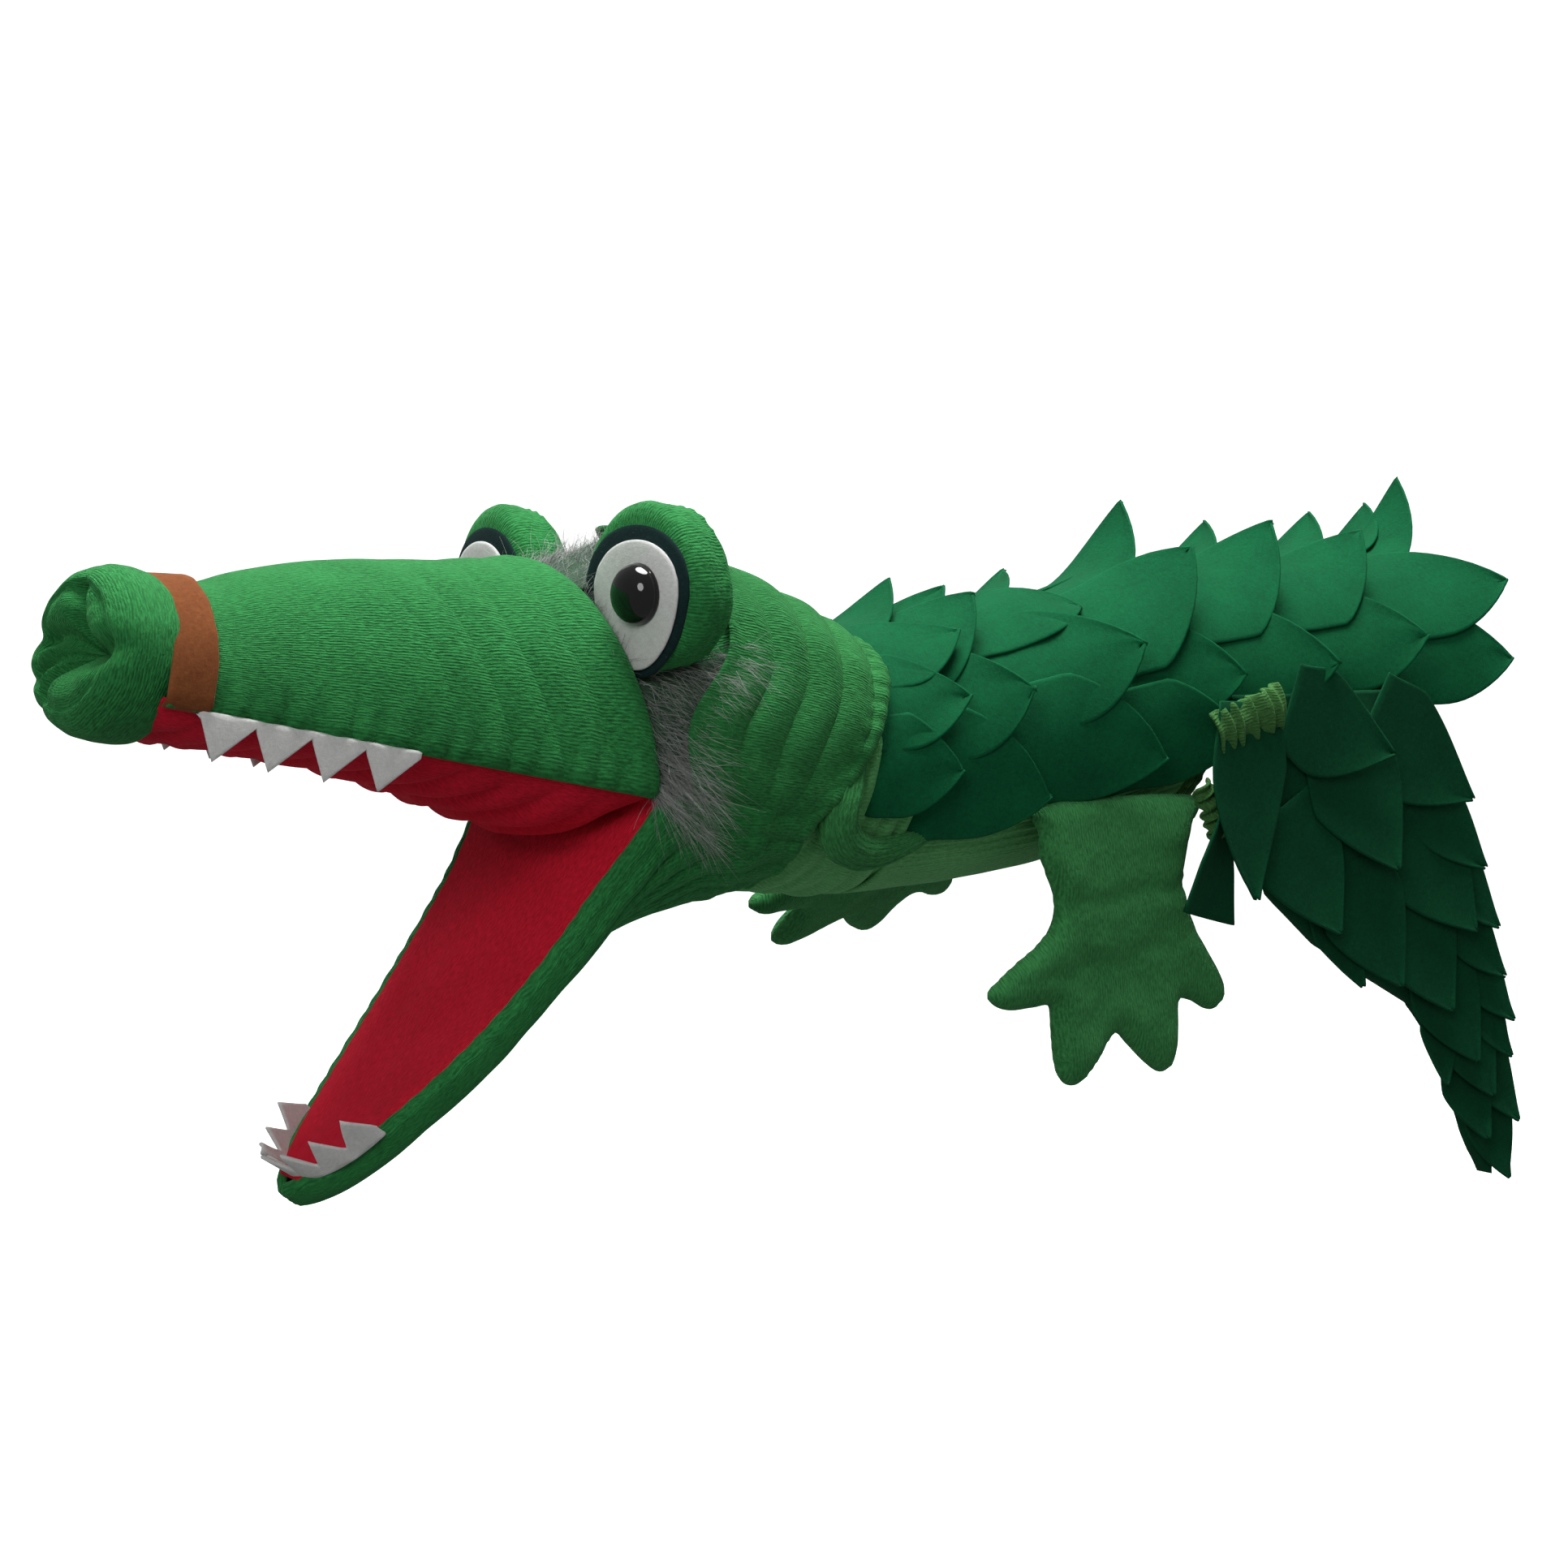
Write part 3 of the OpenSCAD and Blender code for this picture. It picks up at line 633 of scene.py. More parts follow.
def chin_depth(s):
    return (12.5 + 19 * np.exp(-s / 30)) * np.clip(1 - (s / 153) ** 12, 0, 1) ** 0.5


def chin_arc(s, off, a):
    drop = signed_power(np.clip(sin(a), 0, 1), 0.8)
    return (jaw_width(s) + off) * cos(a), jaw_bow(s) - 2.2 - (chin_depth(s) + off) * drop


def sleeve_point(x, a, off):
    mid = along([(-126, -15), (-100, -13), (-50, -7), (0, 0), (150, 4)], x)
    lean = along([(-126, 5), (-60, -4), (0, 0)], x)
    w = along([(-126, -2), (-90, 0), (200, 0)], x) + 42
    up = along([(-126, -1), (-50, 0), (0, 1), (120, 3)], x) + 41
    down = along([(-126, -1), (-90, 1), (-50, 1), (0, -2)], x) + 46
    v = (np.where(sin(a) > 0, up, down) + off) * sin(a)
    return xyz(x + v * sin(lean), (w + off) * cos(a), mid + v * cos(lean))


def hood_point(a, u, off):
    c, s = signed_power(cos(a), 0.85), signed_power(sin(a), 0.85)
    up, dn = np.maximum(s, 0), np.maximum(-s, 0)
    brow = np.where(s > 0, 18 * (1 - cos(2 * a) ** 6), 0)
    fx = -226 + 6 * up * up + 24 * dn * dn + brow
    fz = -2 + np.where(s > 0, 56 + off, 51.5 + off) * s
    v = np.where(s > 0, 46, 44.5) * s + off * s
    rx, rz = -160 + v * sin(33) - 6.5 * bump(a, 203, 17), -14 + v * cos(33)
    swell = sin(180 * u)
    return xyz(fx + (rx - fx) * u + 2 * swell * up, (51 - u + off + 1.5 * swell) * c,
               fz + (rz - fz) * u + swell * (2.5 * up - dn))


EYE_X, EYE_Y, EYE_Z, EYE_TURN = -238.0, 41.3, 38.3, 6.0


def eye_point(side, up, over, out):
    """A point near an eye: up, towards the puppet's right, and forward out of the patch."""
    x = EYE_X - out * cos(EYE_TURN) - over * sin(EYE_TURN)
    y = -EYE_Y - out * sin(EYE_TURN) + over * cos(EYE_TURN)
    return xyz(x, y * (1 if side < 0 else -1), EYE_Z + up)


# ---- upper jaw -----------------------------------------------------------------------
STRAP_S, FRONT_S = 142.0, 153.0  # where the strap starts and the snout ends, from the hinge
NOSE_N = 11.3  # height of the middle of the nose above the mouth
TOOTH_START, TOOTH_HALF = 80, 8  # first upper tooth and half the width of a tooth


def snout_edge(a):
    return 4 + 26 * np.clip(sin(a), 0, 1) ** 1.1


def snout_skin():
    a = np.concatenate([[180, 180], np.linspace(180, 0, 151), [0, 0]])[None, :]
    tuck = np.zeros(a.shape)
    tuck[0, [0, -1]], tuck[0, [1, -2]] = 2.6, 0.7
    back = snout_edge(a)
    hem = [(9, -4.6), (5, -4.7), (2, -4.3), (0.4, -3.2), (-0.2, -1.9), (0.1, -0.6), (1.2, 0.6), (3, 1.5),
           (5.5, 2.1)]
    s_hem = np.concatenate([back + d for d, _ in hem])
    off_hem = np.concatenate([np.full(a.shape, o) for _, o in hem])
    s = back + 8 + rungs(0, 1, 150) * (FRONT_S - back - 8)
    ds = s - back
    flat = xyz(ds, a * 0.7, 0)
    soft = fbm(flat, 26, 3)
    side = np.abs(cos(a)) ** 0.7
    q = ds / 16.5 + 0.30 * fbm(flat, 45, 5, 1) + 0.12 * cos(a * 2)
    folds = (hump(q) - 0.62) * 1.9 * bump(ds, 33, 27) * (0.18 + 0.82 * side) * (0.75 + 0.5 * soft)
    rim = np.minimum(a, 180 - a)
    pucker = 0.6 * np.sin(s / 1.5 + 2.5 * wave(s / 12, 2)) * bump(rim, 0, 8)
    waist = 1.6 * bump(s, 136, 7) * (0.4 + 0.6 * sin(a))
    off = 0.5 + 1.7 * np.exp(-(ds - 8) / 16) + folds + 0.45 * soft + pucker - waist
    s_all, off_all = np.concatenate([s_hem, s]), np.concatenate([off_hem, off])
    y, n = snout_arc(s_all, off_all, a)
    y = np.sign(y) * np.maximum(np.abs(y) - tuck, 0)
    n = np.where(tuck > 0, LIP - 0.9, n)
    return cloth(up_point(s_all, y, n), VELOUR)


def nose_skin():
    # Share of the way forward, distance from the hinge, share of the full radius.
    profile = [(0, 147.5, 0.86), (0.06, 150, 0.95), (0.12, 154, 0.985), (0.22, 159, 1.0),
               (0.36, 164.5, 0.985), (0.47, 168.6, 0.91),
               (0.54, 170.6, 0.82), (0.585, 171.2, 0.765), (0.61, 170.2, 0.735), (0.64, 170.6, 0.70),
               (0.72, 171.6, 0.60), (0.80, 171.4, 0.46), (0.88, 169, 0.30), (0.94, 165, 0.16),
               (1, 161, 0.05)]
    t = rungs(0, 1, 90)
    th = round_ticks(144)
    s = along([(p[0], p[1]) for p in profile], t)
    r = along([(p[0], p[2]) for p in profile], t)
    for _ in range(3):
        s[1:-1] = (s[:-2] + 2 * s[1:-1] + s[2:]) / 4
        r[1:-1] = (r[:-2] + 2 * r[1:-1] + r[2:]) / 4
    groove = np.zeros((90, 144))
    for middle, width, depth in ((88, 13, 1.0), (165, 12, 0.9), (199, 9, 0.7), (226, 9, 0.6),
                                 (353, 15, 1.0)):
        d = (th - middle + 180) % 360 - 180 + 9 * np.sin(r * 5)
        groove = np.maximum(groove, depth * np.exp(-((d / (width / np.maximum(r, 0.3) * 0.62)) ** 2)))
    inner = step(t, 0.50, 0.66)
    lip = step(t, 0.28, 0.52)
    s = s - groove * (7.5 * inner * (1 - 0.55 * step(r, 0.1, 0.0)) + 1.4 * (lip - inner * lip))
    size = r * (1 - 0.055 * groove * lip)
    ring = xyz(20 * cos(th), 20 * sin(th), 30 * t)
    size = size * (1 + 0.022 * fbm(ring, 14, 9)) + 0.012 * sin(th * 17) * bump(t, 0.60, 0.03)
    s = s + 0.5 * fbm(ring, 9, 11)
    twist = 6 * inner
    p = up_point(s, -29.6 * size * cos(th + twist), NOSE_N + 24.6 * size * sin(th + twist))
    return loft(p, up_point(147.0, 0.0, NOSE_N), up_point(s[-1].mean(), 0.0, NOSE_N), turn=True)


def snout_strap():
    a = np.concatenate([[180], np.linspace(180, 0, 121), [0]])[None, :]
    tuck = np.zeros(a.shape)
    tuck[0, [0, -1]] = 3.0
    f = rungs(0, 1, 9)
    s = STRAP_S - 0.4 + f * (FRONT_S - STRAP_S + 1.0) + 0.35 * wave(a / 9, 4) + 0.8 * sin(a)
    off = 1.9 + 0.25 * wave(a / 16 + f * 2, 8) + 1.3 * f * bump(a, 100, 34)
    y, n = snout_arc(s, off, a)
    y = np.sign(y) * np.maximum(np.abs(y) - tuck, 0)
    n = np.where(tuck > 0, LIP - 1.6, n)
    return cloth(up_point(s, y, n), THIN)


def palate():
    s = rungs(2.5, 153.5, 110)
    q = ticks(-1, 1, 65)
    sag = along([(0, 3), (6, 9), (14, 16), (24, 18), (40, 15), (56, 12.5), (74, 10.5), (96, 9.5),
                 (126, 10), (140, 11), (154, 9)], s)
    flat = xyz(s, q * 45, 0)
    shape = (1 - np.abs(q) ** 2.6) ** 0.8
    tilt = s / 15.5 + 0.9 * np.abs(q) + 0.35 * fbm(flat, 40, 21, 1)
    ribs = (hump(tilt) - 0.55) * (1.6 + 2.4 * bump(s, 60, 50)) * (0.25 + 0.75 * shape) * step(s, 6, 22)
    n = LIP - 0.5 - sag * shape - ribs * (1 - q ** 8) - 0.5 * fbm(flat, 17, 23) * shape
    y = (snout_width(s) - 0.9) * q
    return cloth(up_point(s, y, n), THIN)


def zigzag(k, low, high):
    """Height of a strip cut in points, k counting half teeth."""
    f = np.abs((k % 2) - 1)
    return high + (low - high) * f


def upper_teeth(side):
    k = ticks(0, 8, 65)
    f = rungs(0, 1, 9)
    drop = (zigzag(k, 2.2, 13.2) - 1.5 * bump(k, 8, 0.6)) * (1.0 if side < 0 else 0.8)
    base = TOOTH_START + k * TOOTH_HALF
    s = base + 2.2 * f * (1 - np.abs((k % 2) - 1))
    y = side * (snout_width(base) + 0.5 - 0.8 * f**2 * drop / 12 + 0.35 * wave(k * 0.8, side + 5) * f)
    return cloth(up_point(s, y, (LIP - 1.9) * (1 - f) - drop * f), THIN)


piece("snout_skin", snout_skin(), GREEN, "upper_jaw", "snout_shell", "snout_filling")
piece("nose_gathered", nose_skin(), GREEN, "upper_jaw", "nose_bulb", fill=0.75)
strap = piece("snout_felt_strap", snout_strap(), BROWN, "upper_jaw", "snout_strap")
roof = piece("palate_cloth", palate(), RED, "upper_jaw", "palate_lining")
for side, word in ((-1, "left"), (1, "right")):
    piece(f"upper_teeth_felt_{word}", upper_teeth(side), WHITE, "upper_jaw", f"upper_teeth_{word}")


# ---- lower jaw and throat ------------------------------------------------------------
def hermite(p0, p1, t0, t1, f):
    f = f[:, None, None]
    a, b = 2 * f**3 - 3 * f**2 + 1, f**3 - 2 * f**2 + f
    c, d = -2 * f**3 + 3 * f**2, f**3 - f**2
    return a * p0 + b * t0 + c * p1 + d * t1


def jaw_skin():
    a = ticks(0, 180, 141)
    hood_a = -18 - 0.8 * a
    start_s = 5 + 40 * sin(a) ** 0.7

    def chin(s, extra):
        y, n = chin_arc(s, extra, a)
        return low_point(s, y, n)

    u = rungs(0.55, 0.10, 10)
    rear = hood_point(hood_a, u, 1.5 - 1.2 * step(u, 0.4, 0.55))
    p0, p1 = rear[-1], chin(start_s, 0.4)[0]
    t0 = (rear[-1] - rear[-2]) * 7
    t1 = (chin(start_s + 1, 0.4)[0] - p1) * 24
    middle = hermite(p0, p1, t0, t1, np.linspace(0, 1, 30)[1:])
    f = np.linspace(0, 1, 96)[1:, None]
    s = start_s + f**0.9 * (150.6 - start_s)
    front = chin(s, 0.4)
    p = np.concatenate([rear, middle, front])
    n = grid_normals(p, False)
    if (n * (p - p.mean((0, 1)))).sum(-1).mean() < 0:
        n = -n
    reach = np.concatenate([np.full((10, 1), -6.0) + 0 * a, rungs(0, 1, 29) * start_s, s])
    flat = xyz(reach, a * 0.7, 0)
    q = a / 13.0 + 0.35 * fbm(flat, 40, 31, 1) + 0.012 * reach
    edge = np.minimum(a, 180 - a)
    folds = (hump(q) - 0.55) * 2.0 * bump(reach, 18, 30) * (0.25 + 0.75 * np.abs(cos(a))) * step(edge, 1, 9)
    pucker = 0.35 * np.sin(reach / 1.3 + 3 * wave(reach / 15, 6)) * bump(edge, 0, 9) * step(reach, 5, 20)
    plump = 1.3 * bump(edge, 14, 14) * step(reach, 8, 25) * step(150 - reach, 0, 12)
    p = p + n * (folds + pucker + plump + 0.5 * fbm(flat, 20, 33) * step(edge, 0, 12))[..., None]
    up = low_point(0.0, 0.0, 1.0) - low_point(0.0, 0.0, 0.0)
    lips = []
    for rim, way in ((p[:, :1], -1), (p[:, -1:], 1)):
        lips.append([rim + xyz(0, way, 0) * inset + up * lift * 0.9 for inset,
                     lift in ((1.0, 1.9), (3.2, 1.3))])
    p = np.concatenate([lips[0][1], lips[0][0], p, *lips[1]], 1)
    seam = p[-1:] * [1, 0.1, 1] + 0.5 * (p[-1:] - p[-2:-1]) * [1, 0, 1]
    return cloth(np.concatenate([p, seam]), VELOUR)


def lower_lining():
    s = rungs(1.5, 147.5, 110)
    q = ticks(-1, 1, 61)
    flat = xyz(s, q * 45, 0)
    wrinkle = (hump(s / 11 + 0.5 * np.abs(q) + 0.3 * fbm(flat, 30, 41, 1)) - 0.5) * 1.1 * bump(s, 8, 26)
    soft = 0.45 * fbm(flat, 28, 43)
    n = jaw_bow(s) + (wrinkle + soft) * (1 - q**6) - 0.7 * np.abs(q) ** 6
    return cloth(low_point(s, (jaw_width(s) - 1.2) * q, n), 1.3)


def mouth_corner():
    """Red cloth folded round the hinge line, joining palate and lower lining."""
    f = rungs(0, 1, 21)
    y = ticks(-47, 47, 61)
    turn = 180 + UPPER + 78 - f * (59.5 + 96)
    r = 3.4 + 0.4 * wave(y / 7, 12)
    sagging = 3.0 * (1 - (y / 47) ** 2)
    x = HINGE_X + 1.5 - r * cos(turn - 180 - UPPER)
    z = HINGE_Z + r * sin(turn - 180 - UPPER) - sagging * 0.4
    return cloth(xyz(x, y, z), THIN)


def lower_teeth():
    k = ticks(0, 14, 113)
    f = rungs(0, 1, 8)
    b = -78 + 156 * k / 14
    tip = 1 - np.abs((k % 2) - 1)
    rise = zigzag(k, 3.0, 12.6) * (1 + 0.08 * wave(k, 3)) * (1 - 0.22 * step(b, 0, 40))
    out = 2.2 * f * tip * (b < 20) + 0.5 * wave(k * 0.6, 7) * f
    s, y = 119 + (28 + out) * cos(b), (22.5 + out) * sin(b) - 1.5
    base = jaw_bow(119 + 29 * cos(b))
    return cloth(low_point(s, y, base - 1 + f * (rise + 1)), THIN)


piece("jaw_and_throat_skin", jaw_skin(), GREEN, ("head", "lower_jaw", (-206, 0, -50), (-246, 0, -50)),
      "chin_shell", "chin_filling")
floor_of_mouth = piece("lower_lining_cloth", lower_lining(), RED, "lower_jaw", "mouth_lining_lower")
piece("mouth_corner_cloth", mouth_corner(), RED, "head", "mouth_fold")
piece("lower_teeth_felt", lower_teeth(), WHITE, "lower_jaw", "lower_teeth")


# ---- head ----------------------------------------------------------------------------
def hood_skin():
    a = round_ticks(200)
    low = np.where(a > 180, a - 360, a)
    u = rungs(0, 1, 80)
    flat = xyz(60 * cos(a), 60 * sin(a), u * 70)
    soft = fbm(flat, 30, 51)
    q = u * 4.3 + 0.35 * fbm(flat, 60, 53, 1) + 0.16 * cos(3 * a)
    top = step(sin(a), -0.5, 0.3)
    folds = (hump(q) - 0.5) * 2.4 * (0.35 + 0.65 * np.abs(cos(a)) ** 0.6) * top
    folds = folds * step(u, 0.0, 0.2) * (0.8 + 0.5 * soft)
    creases = (hump(low / 15 + 0.5 * fbm(flat, 40, 55, 1)) - 0.5) * 1.5 * (1 - top)
    seam = -1.0 * (bump(a, 199, 1.6) + bump(a, 341, 1.6)) * step(u, 0.05, 0.2)
    cover = step(-sin(a), 0.24, 0.36) * (1 - step(u, 0.42, 0.56))
    rim = 0.9 * bump(u, 0.97, 0.05) + 0.5 * sin(a * 46) * bump(u, 0.95, 0.05)
    brow = 5.5 * bump(a, 90, 24) * (1 - step(u, 0.0, 0.5))
    off = 0.6 + folds + creases + seam + 0.7 * soft + rim - 2.6 * cover + brow
    p = hood_point(a, u, off)
    turned_in = ((1.02, 0.2), (1.02, -1.6), (0.98, -2.8), (0.93, -3.2))
    hem = [hood_point(a, way, inset) for way, inset in turned_in]
    return cloth(np.concatenate([p, *hem]), VELOUR, wrap=True)


def face_skin():
    """Velour that closes the head behind the snout."""
    a = ticks(-17, 197, 120)
    arch = np.clip(a, 0, 180)
    rear = hood_point(a, 0.06, -1.4)[0]
    s = snout_edge(arch) + 12
    y, n = snout_arc(s, -6.0, arch)
    front = up_point(s, y, n)[0]
    f = np.linspace(0, 1, 16)[:, None, None]
    p = rear * (1 - f) + front * f
    return cloth(p, THIN)


# Rings of a lid: depth behind its face, share of the full size.
LID_RINGS = [(-0.2, 0.12), (-0.1, 0.35), (0.1, 0.6), (0.4, 0.8), (0.9, 0.91), (1.8, 0.985), (3.2, 1.035),
             (5.5, 1.06),
             (8, 1.065), (11, 1.05), (14, 1.02), (15.2, 1.03), (16.4, 0.985), (19, 0.9), (21.5, 0.74),
             (23.3, 0.5), (24, 0.2)]


def eyelid(side):
    t = round_ticks(96)
    k = rungs(0, len(LID_RINGS) - 1, 60)
    depth, size = (np.interp(k, range(len(LID_RINGS)), column) for column in zip(*LID_RINGS))
    high = np.where(sin(t) > 0, 26.5, 21.0)
    up = 2 + high * size * sin(t)
    over = 24.5 * size * cos(t) * (1 - 0.06 * np.maximum(sin(t), 0) ** 3)
    ball = xyz(up, over, depth * 1.5)
    ridge = 0.012 * sin(t * 30) * bump(depth, 15.2, 1.2)
    skin = 1 + 0.030 * fbm(ball + side * 40, 13, 61) * step(depth, 2, 6) + ridge
    p = eye_point(side, 2 + (up - 2) * skin, over * skin, -depth)
    return loft(p, eye_point(side, 2.0, 0.0, 0.2), eye_point(side, 2.0, 0.0, -24.2))


def egg(side, w, h, low, front, thick, dome, aside=0.0):
    """A felt patch cut like an egg, lying on the front of the lid."""
    t = round_ticks(96)
    r = np.array([0.04, 0.25, 0.5, 0.7, 0.85, 0.95, 0.99, 1.0, 1.0, 0.99, 0.95, 0.8, 0.5, 0.2])[:, None]
    z = np.array([0, 0, 0, 0, 0, 0, -0.12, -0.4, -0.8, -1.05, -1.2, -1.2, -1.2, -1.2])[:, None]
    z = z * thick / 1.2
    c = 1.2  # height of the widest place above the middle of the eye
    tall = np.where(sin(t) > 0, h, low)
    up = c + tall * r * sin(t)
    over = aside + w * r * cos(t) * (1 + 0.14 * sin(t)) * (1 + 0.012 * wave(t / 11, 3))
    p = eye_point(side, up, over, front + z - dome * r**2.5)
    return loft(p, eye_point(side, c, aside, front), eye_point(side, c, aside, front - thick))


def bead(side):
    t = round_ticks(72)
    ring = [(0.3, 2.2), (6, 2.2), (9.0, 2.25), (9.25, 2.6), (9.2, 3.1)]
    rise = [math.radians(e) for e in range(2, 90, 4)]
    ring += [(9 * math.cos(e), 3.3 + 6.5 * math.sin(e)) for e in rise]
    r, out = (np.array([q[i] for q in ring])[:, None] for i in (0, 1))
    p = eye_point(side, 2.6 + r * sin(t), r * cos(t) - 4.4, out)
    return loft(p, eye_point(side, 2.6, -4.4, 2.2), eye_point(side, 2.6, -4.4, 9.81))


piece("hood_skin", hood_skin(), HOOD, "head", "head_hood")
piece("face_skin", face_skin(), HOOD, ("head", "upper_jaw", (-226, 0, 20), (-246, 0, 20)))
for side, word in ((-1, "left"), (1, "right")):
    piece(f"eyelid_skin_{word}", eyelid(side), GREEN, "head", f"eyelid_{word}", fill=0.8)
    piece(f"eye_dark_felt_{word}", egg(side, 22.6, 22.0, 23.5, 1.5, 1.2, 1.8), DARK, "head",
          f"eye_outline_{word}")
    piece(f"eye_white_felt_{word}", egg(side, 18.4, 17.4, 21.0, 2.6, 1.1, 1.2, -1.4), WHITE, "head",
          f"eye_white_{word}")
    piece(f"eye_bead_{word}_glossy", bead(side), BEAD, "head", f"eye_bead_{word}")


# ---- fur -----------------------------------------------------------------------------
THIRD_TURN = 2.0944


def strands(roots, ways, lengths, widths, bends, tints):
    """Thin three-sided tapering hairs."""
    seg = 5
    f = np.linspace(0, 1, seg + 1)
    ways = unit(ways)
    side = unit(np.cross(ways, np.array([0.31, 0.17, 0.93])))
    other = np.cross(ways, side)
    path = ways[:, None] * f[:, None] + bends[:, None] * (f**2)[:, None]
    line = roots[:, None] + path * lengths[:, None, None]
    rad = widths[:, None] * (1 - 0.85 * f[None, :])
    verts = []
    for k in range(3):
        c, s = math.cos(k * THIRD_TURN), math.sin(k * THIRD_TURN)
        verts.append(line + (side[:, None] * c + other[:, None] * s) * rad[..., None])
    verts = np.stack(verts, 2)
    n = len(roots)
    ids = np.arange(n * (seg + 1) * 3).reshape(n, seg + 1, 3)
    nxt = np.roll(ids, -1, 2)
    q = np.stack([ids[:, :-1], nxt[:, :-1], nxt[:, 1:], ids[:, 1:]], -1).reshape(-1, 4)
    grow = np.broadcast_to(f[None, :, None], ids.shape)
    tint = np.broadcast_to(tints[:, None, None], ids.shape)
    at = np.stack([grow, tint], -1)
    quv = np.stack([at[:, :-1], at[:, :-1], at[:, 1:], at[:, 1:]], -2).reshape(-1, 4, 2)
    tips = np.concatenate([ids[:, -1], ids[:, 0, ::-1]])
    tuv = np.concatenate([at[:, -1], at[:, 0, ::-1]])
    return (verts.reshape(-1, 3), q, quv, (tips, tuv))


def face_point(a, f, out):
    """A point on the cloth between the hood (f = 0) and the snout's back edge (f = 1)."""
    arch = np.clip(a, 0, 180)
    s = snout_edge(arch) + 2
    y, n = snout_arc(s, out - 1.5, arch)
    rear = hood_point(a, 0.03, out - 0.5 + 5.0 * bump(a, 90, 24))
    return rear + (up_point(s, y, n) - rear) * np.asarray(f)[..., None]


def fur_patch(count, a0, a1, f0, f1, flow, spread, long, width, seed):
    g = np.random.default_rng(seed)
    a = g.uniform(a0, a1, count)
    f = g.uniform(f0, f1, count)
    root = face_point(a, f, -0.6)
    out = unit(face_point(a, f, 3.0) - face_point(a, f, 0.0))
    way = out * 0.42 + np.array(flow)[None] + g.normal(0, spread, (count, 3))
    bend = np.array([0.20, 0, -0.28])[None] + g.normal(0, 0.18, (count, 3))
    length = g.uniform(long[0], long[1], count) * (0.75 + 0.25 * np.sin(a * 0.21 + f * 3))
    return strands(root, way, length, g.uniform(0.6, 1.2, count) * width, bend, g.uniform(0, 1, count))


FLOW_LEFT, FLOW_RIGHT, FLOW_TOP = (0.56, -0.16, -0.56), (0.56, 0.16, -0.56), (0.25, 0.20, 0.34)
fur = [fur_patch(1900, 154, 212, -0.15, 0.95, FLOW_LEFT, 0.32, (3, 9), 0.15, 1),
       fur_patch(1900, 152, 212, -0.10, 0.95, FLOW_LEFT, 0.36, (9, 19), 0.10, 2),
       fur_patch(1900, -32, 26, -0.15, 0.95, FLOW_RIGHT, 0.32, (3, 9), 0.15, 3),
       fur_patch(1900, -32, 28, -0.10, 0.95, FLOW_RIGHT, 0.36, (9, 19), 0.10, 4),
       fur_patch(900, 66, 114, 0.0, 0.95, FLOW_TOP, 0.40, (3, 7), 0.14, 5),
       fur_patch(1200, 50, 132, 0.1, 0.98, FLOW_TOP, 0.46, (9, 19), 0.085, 6),
       fur_patch(420, 122, 152, 0.6, 0.98, (0.10, -0.42, 0.42), 0.34, (8, 17), 0.075, 7),
       fur_patch(420, 28, 58, 0.6, 0.98, (0.10, 0.42, 0.42), 0.34, (8, 17), 0.075, 8)]


def fur_backing(a0, a1, f0=-0.22):
    a = ticks(a0, a1, 40)
    f = rungs(f0, 0.97, 10)
    ring = face_point(a, f, 0.0)
    return cloth(ring + 0.4 * fbm(ring, 3, 71)[..., None], 1.0)


piece("fur_hair", fur, HAIR, "head", "fur_trim")
piece("fur_backing", [fur_backing(156, 210), fur_backing(-30, 24), fur_backing(64, 116, 0.12)], FUR_BASE,
      "head")


# ---- neck ----------------------------------------------------------------------------
def neck_ring(x, z, lean, ry, up, down, a, off):
    v = (np.where(sin(a) > 0, up, down) + off) * sin(a)
    return xyz(x + v * sin(lean), (ry + off) * cos(a), z + v * cos(lean))


def neck_skin(stations, seed, depth):
    a = round_ticks(160)
    t = rungs(0, 1, 44)
    at = np.linspace(0, 1, len(stations))
    x, z, lean, ry, up, down = (np.interp(t, at, [s[i] for s in stations]) for i in range(6))
    flat = xyz(45 * cos(a), 45 * sin(a), x)
    q = x / 7.5 + 0.5 * fbm(flat, 35, seed, 1) + 0.25 * cos(2 * a)
    folds = (hump(q) - 0.5) * depth * bump(t, 0.5, 0.38)
    return cloth(neck_ring(x, z, lean, ry, up, down, a, folds + 0.5 * fbm(flat, 18, seed + 1)), VELOUR,
                 wrap=True)


# Rings of the neck: x, z, lean, half width, half height above and below.
REAR_NECK = [(-110, -14, 4, 37, 36, 40), (-120, -14.3, 6, 38, 38, 42), (-128, -14.5, 8, 42.5, 40, 44.0),
             (-136, -14.7, 13, 44, 41, 44.5), (-144, -15, 18, 43.5, 41, 43.5), (-150, -15, 22, 41, 40, 42)]
FRONT_NECK = [(-139, -15, 15, 41, 39, 42), (-145, -15, 19, 44, 41, 44), (-151, -15, 24, 45.5, 41.5, 44),
              (-157, -15, 28, 45.8, 41, 43), (-163, -15, 32, 45, 40, 41.5), (-168, -15, 33, 43, 39, 40)]
piece("neck_bunch_rear", neck_skin(REAR_NECK, 81, 2.2), BELLY,
      ("sleeve", "neck", (-118, 0, -15), (-136, 0, -15)), "neck_cloth", slot="green_velour")
piece("neck_bunch_front", neck_skin(FRONT_NECK, 83, 2.4), BELLY,
      ("neck", "head", (-146, 0, -15), (-166, 0, -15)), slot="green_velour")


LOOP_PATH = [  # x, y, z and half width of the fold pushed out behind the hood's near rim
    (-155, -43.5, -8, 3.6), (-160.5, -46, -14.5, 5.6), (-165, -48, -22, 6.9), (-167, -47.5, -29, 7.2),
    (-164, -45, -35.5, 6.8),
    (-156.5, -42.2, -40.5, 5.8), (-145, -39.4, -42.5, 4.8), (-131, -37, -40.5, 4), (-116, -35, -37, 2.2)]


